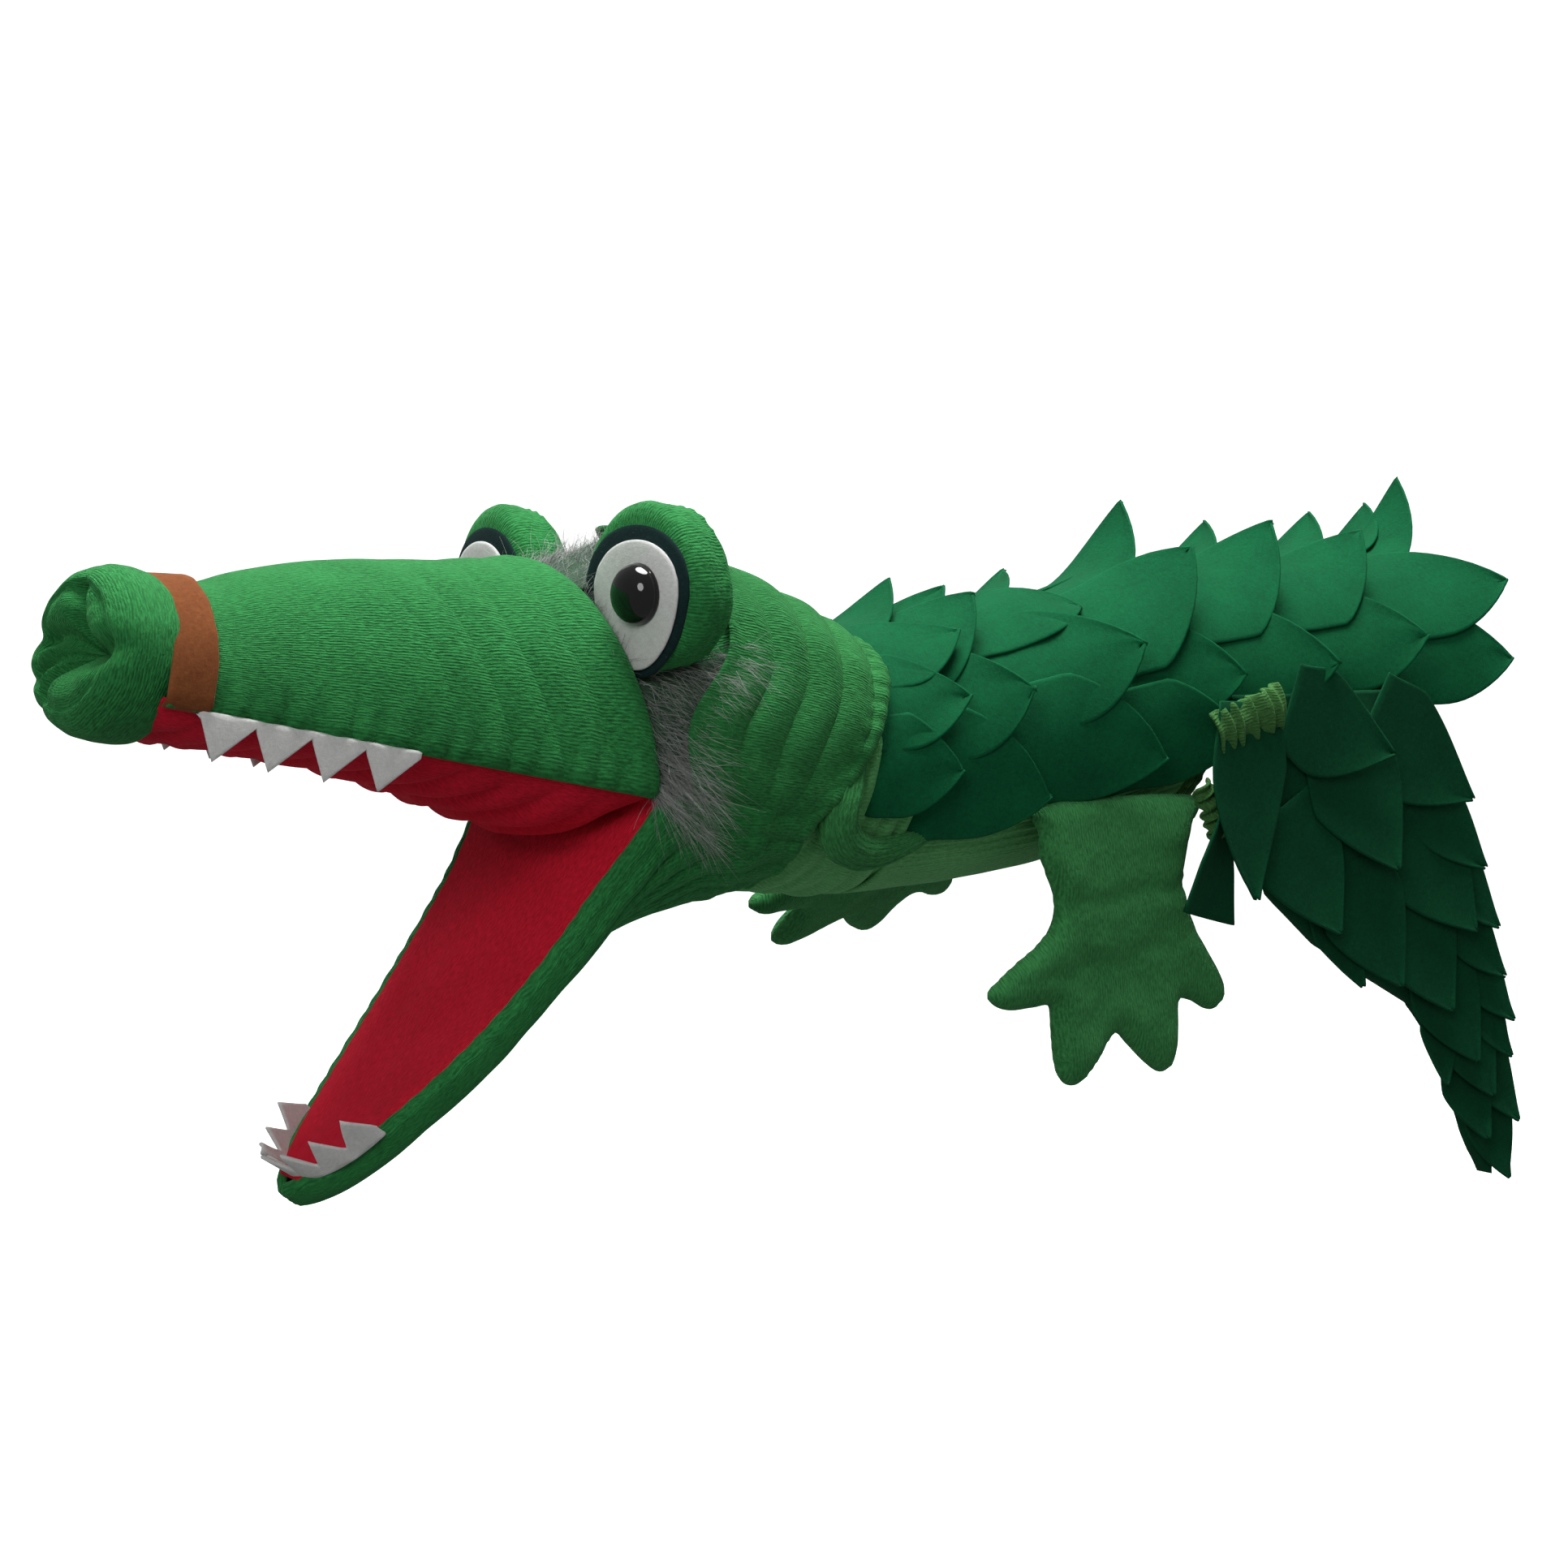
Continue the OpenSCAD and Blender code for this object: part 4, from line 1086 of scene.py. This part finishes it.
def neck_loop():
    """A loop of belly velour pushed out between head and sleeve on the near side."""
    t = np.linspace(0, 1, 72)
    stations = np.linspace(0, 1, len(LOOP_PATH))
    near = (-0.09, -0.045, 0, 0.045, 0.09)
    path = np.stack([np.mean([np.interp(t + d, stations, column) for d in near], 0)
                     for column in zip(*LOOP_PATH)], -1)
    ahead = unit(np.gradient(path[:, :3], axis=0))
    side = unit(np.cross(ahead, np.array([0, -1.0, 0])))
    out = np.cross(side, ahead)
    k = np.linspace(0, 360, 72, endpoint=False)
    lumps = fbm(xyz(20 * cos(k), 20 * sin(k), t[:, None] * 60), 16, 87)
    ribs = 1 + 0.045 * sin(k * 17 + 60 * sin(t * 300)[:, None]) + 0.12 * lumps
    r = path[:, 3:] * ribs
    p = path[:, None, :3] + side[:, None] * (r * cos(k))[..., None]
    p = p + out[:, None] * (r * 0.85 * sin(k))[..., None]
    return loft(p, path[0, :3] - ahead[0] * 1.2, path[-1, :3] + ahead[-1] * 1.2)


piece("neck_loop_fold", neck_loop(), FOOT, ("sleeve", "neck", (-116, 0, -15), (-140, 0, -15)))


# ---- sleeve --------------------------------------------------------------------------
def sleeve_skin(a0, a1, ribs):
    x = rungs(4, -126, 110)
    a = ticks(a0, a1, 110)
    flat = xyz(x, 45 * cos(a), 45 * sin(a))
    soft = fbm(flat, 34, 91)
    edge = bump(a, 214, 13) + bump(a, 326, 13) if ribs else 0 * a
    drift = 0.35 * fbm(flat * [0.35, 1, 1], 30, 93, 1)
    lines = (hump(a / 5.2 + drift) - 0.5) * 1.7 * edge * step(x, 4, -10)
    sag = -1.2 * bump(a, 270, 45) * bump(x, -110, 30) if ribs else 0
    return cloth(sleeve_point(x, a, 0.5 + 0.5 * soft + lines + sag), VELOUR)


ROUND_RADIUS = 42.0  # turns a width across the back into an angle round it
Q_ROW = np.concatenate([[-1, -0.95], np.linspace(-0.82, 0.82, 11), [0.95, 1]])


def leaf(x0, a0, length, width, lift, curl, lean, seed, base=0.8, band=0.0):
    """A felt scale: x along the back, angle round it; it stands off and curls as told."""
    t = rungs(-band / length, 1, 24)
    t = np.concatenate([t[:-1], [[0.985], [1.0]]])
    q = Q_ROW[None, :]
    free = np.maximum(t, 0)
    full = np.clip((t - 0.34) / 0.66, 0, 1)
    left = 1 - full**2.0
    right = 1 - full**1.1
    if lean > 0:
        left, right = right, left
    half = width / 2 * np.where(q < 0, left, right) + 0.15
    bend = lean * full**2
    off = base * step(t, -band / length, -band / length + 0.1) + lift * free + curl * full**2.2
    cup = 1.1 * q**2 * step(t, 0.15, 0.6)
    flutter = 0.5 * wave(q * 1.4 + free, seed + 0.5) * step(t, -0.1, 0.3)
    wob = 1.1 * wave(free * 1.7 + q * 0.8, seed) * free + flutter
    shrink = 1 - 0.32 * np.clip(curl / 40, 0, 1) * full
    x = x0 + length * t * shrink
    return x, a0 + np.degrees((q * half + bend) / ROUND_RADIUS), off + cup + wob


SLEEVE_ROWS = [  # base x, then scales: angle, length, width, lift, curl, sideways lean
    (-126, [(20, 44, 34, 5, 2, 5), (54, 42, 34, 5, 3, -6), (86, 42, 36, 4, 6, 8), (120, 42, 36, 5, 5, -6),
            (152, 42, 38, 6, 4, 4), (184, 48, 36, 4, 3, 9)]),
    (-79, [(2, 48, 36, 4, 3, 4), (38, 50, 36, 5, 5, 5), (74, 52, 36, 4, 8, -6), (108, 44, 36, 6, -7, 7),
           (144, 48, 42, 7, 6, 5), (178, 52, 36, 5, 4, 10)]),
    (-33, [(18, 52, 36, 5, 3, 4), (56, 54, 36, 5, 6, 5), (92, 50, 34, 7, 20, -5), (130, 44, 40, 8, 9, -8),
           (160, 46, 36, 5, 5, 6), (186, 44, 30, 5, 5, 4)]),
    (14, [(16, 54, 36, 5, 4, 4), (50, 54, 36, 6, 6, 5), (84, 54, 32, 7, 12, -6), (122, 48, 40, 8, 12, -9),
          (158, 42, 36, 7, 9, 7)]),
    (64, [(14, 54, 36, 6, 4, 4), (50, 56, 36, 6, 12, 5), (88, 58, 36, 7, 13, -6), (122, 44, 36, 7, 9, -7),
          (152, 44, 36, 7, 7, 6)]),
    (110, [(32, 52, 36, 7, 8, 4), (66, 56, 36, 8, 16, 5), (94, 62, 28, 8, 24, -6), (130, 52, 38, 8, 8, 9),
           (162, 46, 34, 6, 6, 6)])]


def scale_row(i):
    x0, scales = SLEEVE_ROWS[i]
    parts = []
    for k, (a0, length, width, lift, curl, lean) in enumerate(scales):
        x, a, off = leaf(x0, a0, length, width + 2.0, lift + 1.5, curl, lean, i * 13 + k * 3.1,
                         base=0.9 + 1.2 * (k % 2), band=32.0 if i else 0.0)
        parts.append(cloth(sleeve_point(x, a, off), FELT))
    return parts


piece("sleeve_back_skin", sleeve_skin(-33, 213, False), FOOT, "sleeve", "back_panel")
piece("sleeve_belly_skin", sleeve_skin(207, 333, True), BELLY, "sleeve", "belly_panel")
for i in range(6):
    piece(f"scale_row_{i + 1}_felt", scale_row(i), SCALE, "sleeve", f"scale_row_{i + 1}")


NECK_SCALES = [  # angle, length, width, lift, curl, sideways lean, base x
    (20, 34, 32, 4, 2, 2, -150), (52, 36, 33, 5, 5, 3, -148), (88, 38, 34, 5, 12, -3, -144),
    (122, 38, 34, 5, 5, 3, -147), (150, 36, 33, 4, 4, 3, -150), (178, 32, 30, 3, 2, 3, -148)]


def neck_scales():
    parts = []
    for k, (a0, length, width, lift, curl, lean, x0) in enumerate(NECK_SCALES):
        x, a, off = leaf(x0, a0, length, width, lift, curl, lean, 70 + k * 2.3, base=1.6 + 0.3 * (k % 2))
        parts.append(cloth(neck_ring(x, -14.5, 10, 43.5, 40.5, 46, a, off), FELT))
    return parts


piece("neck_scales_felt", neck_scales(), SCALE, ("sleeve", "neck", (-124, 0, -15), (-140, 0, -15)))


# ---- saddle, lining and hem ----------------------------------------------------------
SADDLE_SEED = 101


def arch_sheet(x0, x1, a0, a1, off, flare, gather=0.0):
    """A sheet lying over the sleeve; saddle and lining share one seed, so they keep apart."""
    x = rungs(x0, x1, 70)
    a = ticks(a0, a1, 110)
    flat = xyz(x, 45 * cos(a), 45 * sin(a))
    edge = np.minimum(a - a0, a1 - a)
    ripple = gather * np.sin(x / 1.35 + 3 * wave(x / 9, SADDLE_SEED)) * bump(edge, 0, 9)
    off = off + 0.7 * fbm(flat, 30, SADDLE_SEED) + flare * step(x, x1 - 25, x1) + ripple
    return sleeve_point(x, a, off)


saddle = arch_sheet(4, 122, -2, 202, 0.0, 0.8)
cover = piece("saddle_felt", cloth(saddle, 1.2), SCALE, "sleeve", "saddle_panel")
inner = arch_sheet(3, 120.5, -1, 203, -2.4, 0.6, gather=1.2)
cover_lining = piece("saddle_lining_cloth", cloth(inner, 1.4), LINING, "sleeve", "saddle_lining")


def hem_roll():
    a = np.linspace(203, 337, 130)
    parts = []
    for x, r, seed in ((6.0, 2.3, 1), (2.6, 1.9, 2)):
        path = sleeve_point(x + 0.5 * wave(a / 7, seed), a, 0.2 + 0.5 * wave(a / 5, seed + 4))
        parts.append(tube(path, r + 0.35 * wave(a / 3, seed + 9), 12))
    return parts


def saddle_gather():
    """The pale velour edge that shows gathered between saddle and tail on each side."""
    parts = []
    for middle, seed in ((200, 5), (-1, 6)):
        x = np.linspace(5, 60, 90)
        a = middle + 1.5 * wave(x / 5, seed)
        path = sleeve_point(x, a, -1.2 + 0.9 * wave(x / 2.2, seed + 3))
        parts.append(tube(path, 2.1 + 0.5 * wave(x / 1.8, seed + 7), 12))
    return parts


piece("opening_hem_roll", hem_roll(), LINING, "sleeve", "opening_hem")
piece("saddle_gathered_edge", saddle_gather(), LINING, "sleeve")


# ---- tail ----------------------------------------------------------------------------
TAIL_Y = -48.0
# Height, front edge and rear edge of the tail.
TAIL_EDGES = [(6, 8, 98), (-5, 10, 102), (-40, 16, 114), (-67, 29, 124), (-87, 55, 133), (-100, 80, 139),
              (-113, 107, 144),
              (-127, 120, 149), (-144, 130, 153), (-165, 140, 156), (-183, 151, 156)]


def tail_edges(z):
    heights, front, rear = zip(*TAIL_EDGES[::-1])
    return np.interp(z, heights, front), np.interp(z, heights, rear)


def tail_skin(z0, z1, close=False):
    z = rungs(z0, z1, 60)
    t = round_ticks(90)
    front, rear = tail_edges(z)
    mid, half = (front + rear) / 2, (rear - front) / 2
    if close:
        half = half * np.clip((z - z1) / 9, 0, 1) ** 0.5 + 0.3
    puff = along([(-183, 3.4), (-150, 5.0), (-119, 5.6), (-68, 6.2), (-10, 6.4), (6, 3.5)], z)
    flat = xyz(mid + half * cos(t), 30 * sin(t), z)
    soft = fbm(flat, 26, 111)
    y = TAIL_Y + puff * signed_power(sin(t), 0.62) * (1 + 0.14 * soft)
    wave_edge = 0.8 * wave(z / 9, 31) * np.abs(cos(t)) ** 6
    x = mid + (half + wave_edge) * cos(t) * (1 - 0.05 * sin(t) ** 2)
    p = xyz(x, y, z)
    return loft(p, p[0].mean(0), p[-1].mean(0))


def tail_leaf(root, tip, width, lift, curl, lean, seed, base):
    """A felt scale lying on the flat of the tail from root to tip (both x and z)."""
    t = np.concatenate([np.linspace(0, 0.96, 18), [0.985, 1.0]])[:, None]
    q = Q_ROW[None, :]
    full = np.clip((t - 0.35) / 0.65, 0, 1)
    left, right = 1 - full**2.0, 1 - full**1.15
    if lean > 0:
        left, right = right, left
    half = width / 2 * np.where(q < 0, left, right) * (0.82 + 0.18 * step(t, 0, 0.35)) + 0.15
    ahead = np.array([tip[0] - root[0], tip[1] - root[1]], float)
    length = np.linalg.norm(ahead)
    ux, uz = ahead / length
    across = q * half + lean * (full**2 - full) * 1.6
    flutter = 0.9 * wave(t * 1.6 + q, seed) * t
    off = base + lift * t + curl * full**2.2 + 0.8 * q**2 * step(t, 0.2, 0.7) + flutter
    px = root[0] - 3 + ux * length * t - uz * across
    pz = root[1] + uz * length * t + ux * across
    return cloth(xyz(px, TAIL_Y - off, pz), 1.1)


def tail_scales(leaves, seed):
    parts = []
    for k, (root, tip, width, lean, base) in enumerate(leaves):
        lift, curl = 3.5 + 1.5 * wave(k * 1.3, seed), 3.0 + 2.0 * wave(k * 2.1, seed + 1)
        parts.append(tail_leaf(root, tip, width, lift, curl, lean, seed + k * 1.7, base))
    return parts


# Scales of the tail: root, tip, width, lean, distance from the middle of the cloth.
SEG_BASE = [((106, -30), (138, -63), 28, 5, 5.2), ((80, -4), (129, -37), 42, 7, 6.0),
            ((98, -42), (131, -86), 44, -7, 5.8),
            ((34, 0), (80, -18), 38, 7, 8.0), ((60, -12), (86, -60), 46, -8, 7.0),
            ((32, -36), (56, -81), 42, -7, 6.6),
            ((12, 2), (9, -65), 36, 8, 10.0)]
SEG_MID = [((122, -54), (147, -86), 24, 5, 5.0), ((68, -58), (90, -103), 42, -7, 6.2),
           ((98, -70), (120, -115), 42, -6, 6.0),
           ((127, -74), (151, -105), 24, 5, 5.2), ((56, -70), (73, -102), 20, -5, 4.4)]
SEG_TIP = [((137, -92), (157, -122), 22, 5, 4.8), ((116, -94), (136, -136), 36, -6, 5.4),
           ((141, -106), (157, -136), 20, 4, 4.8),
           ((130, -112), (146, -150), 32, -5, 5.2), ((122, -114), (120, -143), 20, -4, 4.4),
           ((146, -130), (161, -161), 22, 4, 4.6),
           ((134, -134), (143, -166), 26, -4, 4.8), ((148, -148), (158, -183), 26, 4, 4.4)]
TAIL_TOP_BEND = ("sleeve", "tail_root", (66, -48, 4), (66, -48, -14))
TAIL_UPPER_BEND = ("tail_root", "tail_mid", (98, -48, -60), (98, -48, -76))
TAIL_LOWER_BEND = ("tail_mid", "tail_end", (133, -48, -112), (133, -48, -127))
for word, top, end, bend in (("base", 4, -68, TAIL_TOP_BEND), ("middle", -62, -120, TAIL_UPPER_BEND),
                             ("tip", -114, -183, TAIL_LOWER_BEND)):
    piece(f"tail_{word}_skin", tail_skin(top, end, word == "tip"), SHADED_TAIL_FELT, bend, f"tail_{word}",
          fill=0.4)
for word, leaves, seed, bend in (("base", SEG_BASE, 1, TAIL_TOP_BEND),
                                 ("middle", SEG_MID, 40, TAIL_UPPER_BEND),
                                 ("tip", SEG_TIP, 80, TAIL_LOWER_BEND)):
    piece(f"tail_scales_{word}_felt", tail_scales(leaves, seed), SHADED_TAIL_FELT, bend, f"tail_scales_{word}")


def loose_flap():
    """A felt scale hanging loose in front of the tail."""
    f = rungs(0, 1, 24)
    g = ticks(-1, 1, 15)
    z = -6 - 66 * f - 3.5 * g * f
    mid = along([(0, 6), (0.45, -1), (0.75, -4), (1, -6)], f)
    half = along([(0, 4), (0.45, 5), (0.75, 11), (1, 14)], f)
    x = mid + half * g
    y = TAIL_Y - 6 - 2.2 * np.sin(3 * f + 0.6) + 3.0 * g * sin(180 * f * 0.8) - 1.2 * g**2
    return cloth(xyz(x, y, z), FELT)


def ruffle(x0, z0, x1, z1, y, wide, seed):
    """A short strip of velour drawn together along its length."""
    f = rungs(0, 1, 90)
    g = ticks(-0.5, 0.5, 15)
    way = unit(np.array([x1 - x0, z1 - z0], float))
    ripple = 1.5 * np.sin(f * 34 + 2.5 * wave(f * 6, seed) + 1.5 * g) * (0.5 + np.abs(g))
    ripple = ripple + 1.2 * wave(f * 5 + g, seed + 2)
    span = wide * (1 + 0.15 * wave(f * 12, seed + 4))
    x = x0 + (x1 - x0) * f - way[1] * g * span
    z = z0 + (z1 - z0) * f + way[0] * g * span
    return cloth(xyz(x, y + ripple + 10 * g**2, z), 1.3)


def tail_gather():
    """Light velour gathered along the front edge of the tail, between saddle and scales."""
    return [ruffle(24, 1, -7, -8, -60.5, 15, 3), ruffle(-9, -26, 1, -46, -55.5, 9, 9)]


frill = piece("tail_gathered_edge", tail_gather(), LINING, TAIL_TOP_BEND)
flap = piece("loose_felt_flap", loose_flap(), SHADED_TAIL_FELT, TAIL_TOP_BEND)


# ---- feet ----------------------------------------------------------------------------
FOOT_HINGE, FOOT_SLOPE = (-41.0, -43.0, -31.0), 7.0
FOOT_PUFF = 5.0  # half thickness of a stuffed foot away from its edge
# Outline of the left foot seen from its side, x and z.
FOOT_OUTLINE = [(-75.5, -30), (-76, -40), (-75, -49), (-69.5, -60), (-69.5, -69), (-76, -76), (-86, -82),
                (-96, -88.5), (-98.5, -92),
                (-95, -95.5), (-88, -97.5), (-78, -97.5), (-70.5, -98), (-69.3, -107), (-68, -117),
                (-66, -123), (-61.5, -125.5),
                (-56, -124.5), (-49, -118), (-43, -111.5), (-39.5, -110), (-35, -114), (-27, -121),
                (-20, -125.3), (-14.5, -124.5),
                (-11.3, -119), (-10.5, -109), (-10, -101.5), (-4, -102), (3, -105.5), (8.5, -106),
                (12.4, -102), (11.5, -95.5),
                (6, -87), (-1.5, -77), (-6.5, -69), (-9, -58), (-7.5, -49), (-5.5, -41), (-5, -30)]


def smooth_ring(points, per=6):
    p = np.array(points, float)
    a, b, c, d = np.roll(p, 1, 0), p, np.roll(p, -1, 0), np.roll(p, -2, 0)
    f = (np.arange(per) / per)[None, :, None]
    a, b, c, d = (q[:, None] for q in (a, b, c, d))
    q = 0.5 * (2 * b + (c - a) * f + (2 * a - 5 * b + 4 * c - d) * f**2 + (3 * b - a - 3 * c + d) * f**3)
    return q.reshape(-1, 2)


def puffed(outline, gap, height):
    """Vertices of the middle plane of a flat stuffed shape, triangles, and half thickness at each."""
    ring = smooth_ring(outline)
    lo, hi = ring.min(0), ring.max(0)
    gx, gz = np.meshgrid(np.arange(lo[0], hi[0], gap), np.arange(lo[1], hi[1], gap))
    inner = np.stack([gx.ravel() + gap * 0.5 * (np.arange(gx.size) // gx.shape[1] % 2), gz.ravel()], -1)
    a, b = ring, np.roll(ring, -1, 0)

    def reach(p):
        ab = b - a
        t = np.clip(((p[:, None] - a) * ab).sum(-1) / (ab**2).sum(-1), 0, 1)
        return np.linalg.norm(p[:, None] - (a + t[..., None] * ab), axis=-1).min(1)

    x, z = inner[:, :1], inner[:, 1:]
    meets = (b[:, 0] - a[:, 0]) * (z - a[:, 1]) / (b[:, 1] - a[:, 1] + 1e-12) + a[:, 0]
    crosses = ((a[:, 1] > z) != (b[:, 1] > z)) & (x < meets)
    inner = inner[crosses.sum(1) % 2 == 1]
    inner = inner[reach(inner) > gap * 0.45]
    every = [Vector(v) for v in np.concatenate([ring, inner])]
    verts, _, tris, *_ = delaunay_2d_cdt(every, [], [list(range(len(ring)))], 1, 1e-5)
    verts = np.array([tuple(v) for v in verts])
    d = reach(verts)
    rim = d < 1e-4
    return verts, np.array(tris), np.where(rim, 0, height(d)), rim


def foot_puff(d):
    return FOOT_PUFF * (1 - (1 - np.minimum(d / 8.5, 1)) ** 2.3) ** 0.6


def foot(side, swing):
    local = []
    for x, z in FOOT_OUTLINE:
        dx, dz = x - FOOT_HINGE[0], z - FOOT_HINGE[2]
        local.append((dx * cos(FOOT_SLOPE) + dz * sin(FOOT_SLOPE),
                      -dx * sin(FOOT_SLOPE) + dz * cos(FOOT_SLOPE)))
    flat, tris, half, rim = puffed(local, 1.9, foot_puff)
    across, down = flat.T
    lumps = fbm(xyz(across, 0.0, down) + side * 60, 17, 121)
    half = half * (1 + 0.16 * lumps) * (1 - 0.25 * step(down, -20, 0))
    crease = 0.9 * bump(down + 30 + 5 * wave(across / 14, 3), 0, 3.2)
    crease = crease + 0.6 * bump(down + 52 + 4 * wave(across / 11, 9), 0, 2.6)
    front = -np.maximum(half - crease * (half > 2), 0.3 * (~rim))
    rear = np.maximum(half, 0.3 * (~rim))
    sway = 1.5 * wave(down / 34, 5) * step(-down, 5, 40)
    n = len(flat)
    both = np.concatenate([xyz(across, front + sway, down), xyz(across, rear + sway, down)])
    use = np.arange(2 * n)
    use[n:][rim] = np.arange(n)[rim]
    keep, back = np.unique(use, return_inverse=True)
    faces = np.concatenate([tris, back[tris[:, ::-1] + n]])
    x, y, z = both[keep].T
    y, z = y * cos(swing) + z * sin(swing), -y * sin(swing) + z * cos(swing)
    x, z = x * cos(FOOT_SLOPE) - z * sin(FOOT_SLOPE), x * sin(FOOT_SLOPE) + z * cos(FOOT_SLOPE)
    world = xyz(x + FOOT_HINGE[0], y + FOOT_HINGE[1], z + FOOT_HINGE[2])
    if side > 0:
        world[:, 1] *= -1
        faces = faces[:, ::-1]
    uv = np.stack([both[keep][:, 2], both[keep][:, 0]], -1) / 10
    return (world, np.zeros((0, 4), int), np.zeros((0, 4, 2)), (faces, uv[faces]))


for side, word, swing in ((-1, "left", 0.0), (1, "right", 50.0)):
    piece(f"foot_{word}_skin", foot(side, swing), FOOT, f"{word}_foot", f"foot_{word}", fill=0.5)


# ---- pockets inside the jaws and small hard parts ------------------------------------
def finger_pocket():
    s = rungs(10, 95, 50)
    a = ticks(180, 0, 60)
    w, h = along([(10, 32), (95, 24)], s), along([(10, 27), (95, 20)], s)
    flat = xyz(s, 30 * cos(a), 30 * sin(a))
    soft = 0.7 * fbm(flat, 22, 131) + 0.5 * (hump(s / 9) - 0.5) * sin(a)
    return cloth(up_point(s, (w + soft) * cos(a), 3.6 + (h + soft) * sin(a)), THIN)


def thumb_pocket():
    s = rungs(14, 58, 36)
    a = ticks(0, 180, 40)
    flat = xyz(s, 17 * cos(a), 17 * sin(a))
    soft = 0.5 * fbm(flat, 12, 133)
    depth = chin_depth(s) - 6 + soft
    return cloth(low_point(s, (17 + soft) * cos(a), jaw_bow(s) - 4.5 - depth * sin(a)), 1.1)


piece("finger_pocket_cloth", finger_pocket(), POCKET, "upper_jaw", "finger_pocket")
piece("thumb_pocket_cloth", thumb_pocket(), POCKET, "lower_jaw", "thumb_pocket")
for name, material in (("upper_mouth_board", BOARD), ("lower_mouth_board", BOARD),
                       ("eye_washer_left", WASHER), ("eye_washer_right", WASHER)):
    frame["nodes"][name].material_slots[0].material = material

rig.sheet(roof, flat=(0.105, 0.175), held="gathered", rests_on=["upper_mouth_board"], area=0.0135)
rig.sheet(floor_of_mouth, flat=(0.094, 0.149), held="stretched", rests_on=["lower_mouth_board"], area=0.0096)
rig.sheet(strap, flat=(0.0125, 0.124), held="stretched", rests_on=["snout_skin"])
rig.sheet(cover, flat=(0.157, 0.119), held="draped", rests_on=["saddle_lining_cloth"])
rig.sheet(cover_lining, flat=(0.150, 0.119), held="gathered", rests_on=["saddle_felt"])
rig.sheet(flap, flat=(0.030, 0.072), held="hung", rests_on=["saddle_felt"], area=0.00125)
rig.sheet(frill, flat=(0.017, 0.073), held="gathered", rests_on=["saddle_felt"])
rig.squash(roof, "lower_jaw_hinge", axis=(sin(UPPER), 0, cos(UPPER)),
          anchor=[v * MM for v in up_point(60.0, 0.0, LIP)], keep=0.12)


# ---- stage ---------------------------------------------------------------------------
STAGE_SIDES = 96
WHITE_LIGHT = (1, 1, 1, 1)
LIT_POINT = Vector((-0.1, 0, -0.02))


def stage_surface(name, radius, z, strength, shade):
    p = Paint(name)
    grain = p.noise(p.coords("object"), 3.0, 2.0)
    p.set(Base_Color=p.mix(grain, rgba([shade] * 3), rgba([shade + 0.02] * 3)), Roughness=0.9,
          Emission_Color=WHITE_LIGHT, Emission_Strength=strength)
    t = np.linspace(0, 360, STAGE_SIDES, endpoint=False)
    mesh = bpy.data.meshes.new(name)
    verts, faces = [], []
    for r, h in zip(radius, z):
        verts += [(r * cos(k), r * sin(k), h) for k in t]
    for i in range(len(radius) - 1):
        low, high = i * STAGE_SIDES, (i + 1) * STAGE_SIDES
        turns = [(k, (k + 1) % STAGE_SIDES) for k in range(STAGE_SIDES)]
        faces += [(low + k, low + k1, high + k1, high + k) for k, k1 in turns]
    if radius[0] < 2:
        faces.append(tuple(range(STAGE_SIDES)))
    mesh.from_pydata(verts, [], faces)
    mesh.materials.append(p.material)
    ob = bpy.data.objects.new(name, mesh)
    bpy.context.scene.collection.objects.link(ob)
    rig.stage(ob)
    return ob


FLOOR_Z = -0.36
floor = stage_surface("floor", [1.2, 4.0], [FLOOR_Z, FLOOR_Z], 0.9, 0.86)
floor.visible_diffuse = floor.visible_glossy = False
WALL_Z = [FLOOR_Z, FLOOR_Z + 0.2, FLOOR_Z + 0.8, 6.0]
wall = stage_surface("backdrop", [4.0, 4.6, 4.8, 4.8], WALL_Z, 1.0, 0.86)
wall.visible_diffuse = wall.visible_glossy = wall.visible_shadow = False


def area_light(name, place, power, size):
    light = bpy.data.lights.new(name, "AREA")
    light.energy, light.size, light.shape = power, size, "DISK"
    ob = bpy.data.objects.new(name, light)
    ob.location = place
    ob.rotation_euler = (LIT_POINT - Vector(place)).to_track_quat("-Z", "Y").to_euler()
    bpy.context.scene.collection.objects.link(ob)


area_light("light_above", (-0.10, 0.05, 1.30), 34.0, 0.9)
area_light("light_front", (-1.5, -1.0, 0.75), 9.5, 0.8)
area_light("light_back", (0.5, 1.3, 0.8), 3.0, 0.9)
world = bpy.data.worlds.new("studio")
world.use_nodes = True
world.node_tree.nodes["Background"].inputs["Color"].default_value = WHITE_LIGHT
world.node_tree.nodes["Background"].inputs["Strength"].default_value = 0.22
bpy.context.scene.world = world
bpy.context.scene.view_settings.view_transform = "Standard"

TARGET, AZIMUTH, ELEVATION, DISTANCE = Vector((-0.150, 0, -0.022)), -38.0, 4.5, 0.925
back = Vector((sin(AZIMUTH) * cos(ELEVATION), -cos(AZIMUTH) * cos(ELEVATION), sin(ELEVATION)))
lens = bpy.data.cameras.new("camera")
lens.lens, lens.sensor_width, lens.clip_start = 65, 36, 0.02
camera = bpy.data.objects.new("camera", lens)
camera.location = TARGET + back * DISTANCE
camera.rotation_euler = (-back).to_track_quat("-Z", "Y").to_euler()
bpy.context.scene.collection.objects.link(camera)
bpy.context.scene.camera = camera

made_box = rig.bounds()
with open("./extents.json", "w") as out:
    json.dump({"cad": [list(v) for v in cad_box], "visual": [list(v) for v in made_box]}, out)
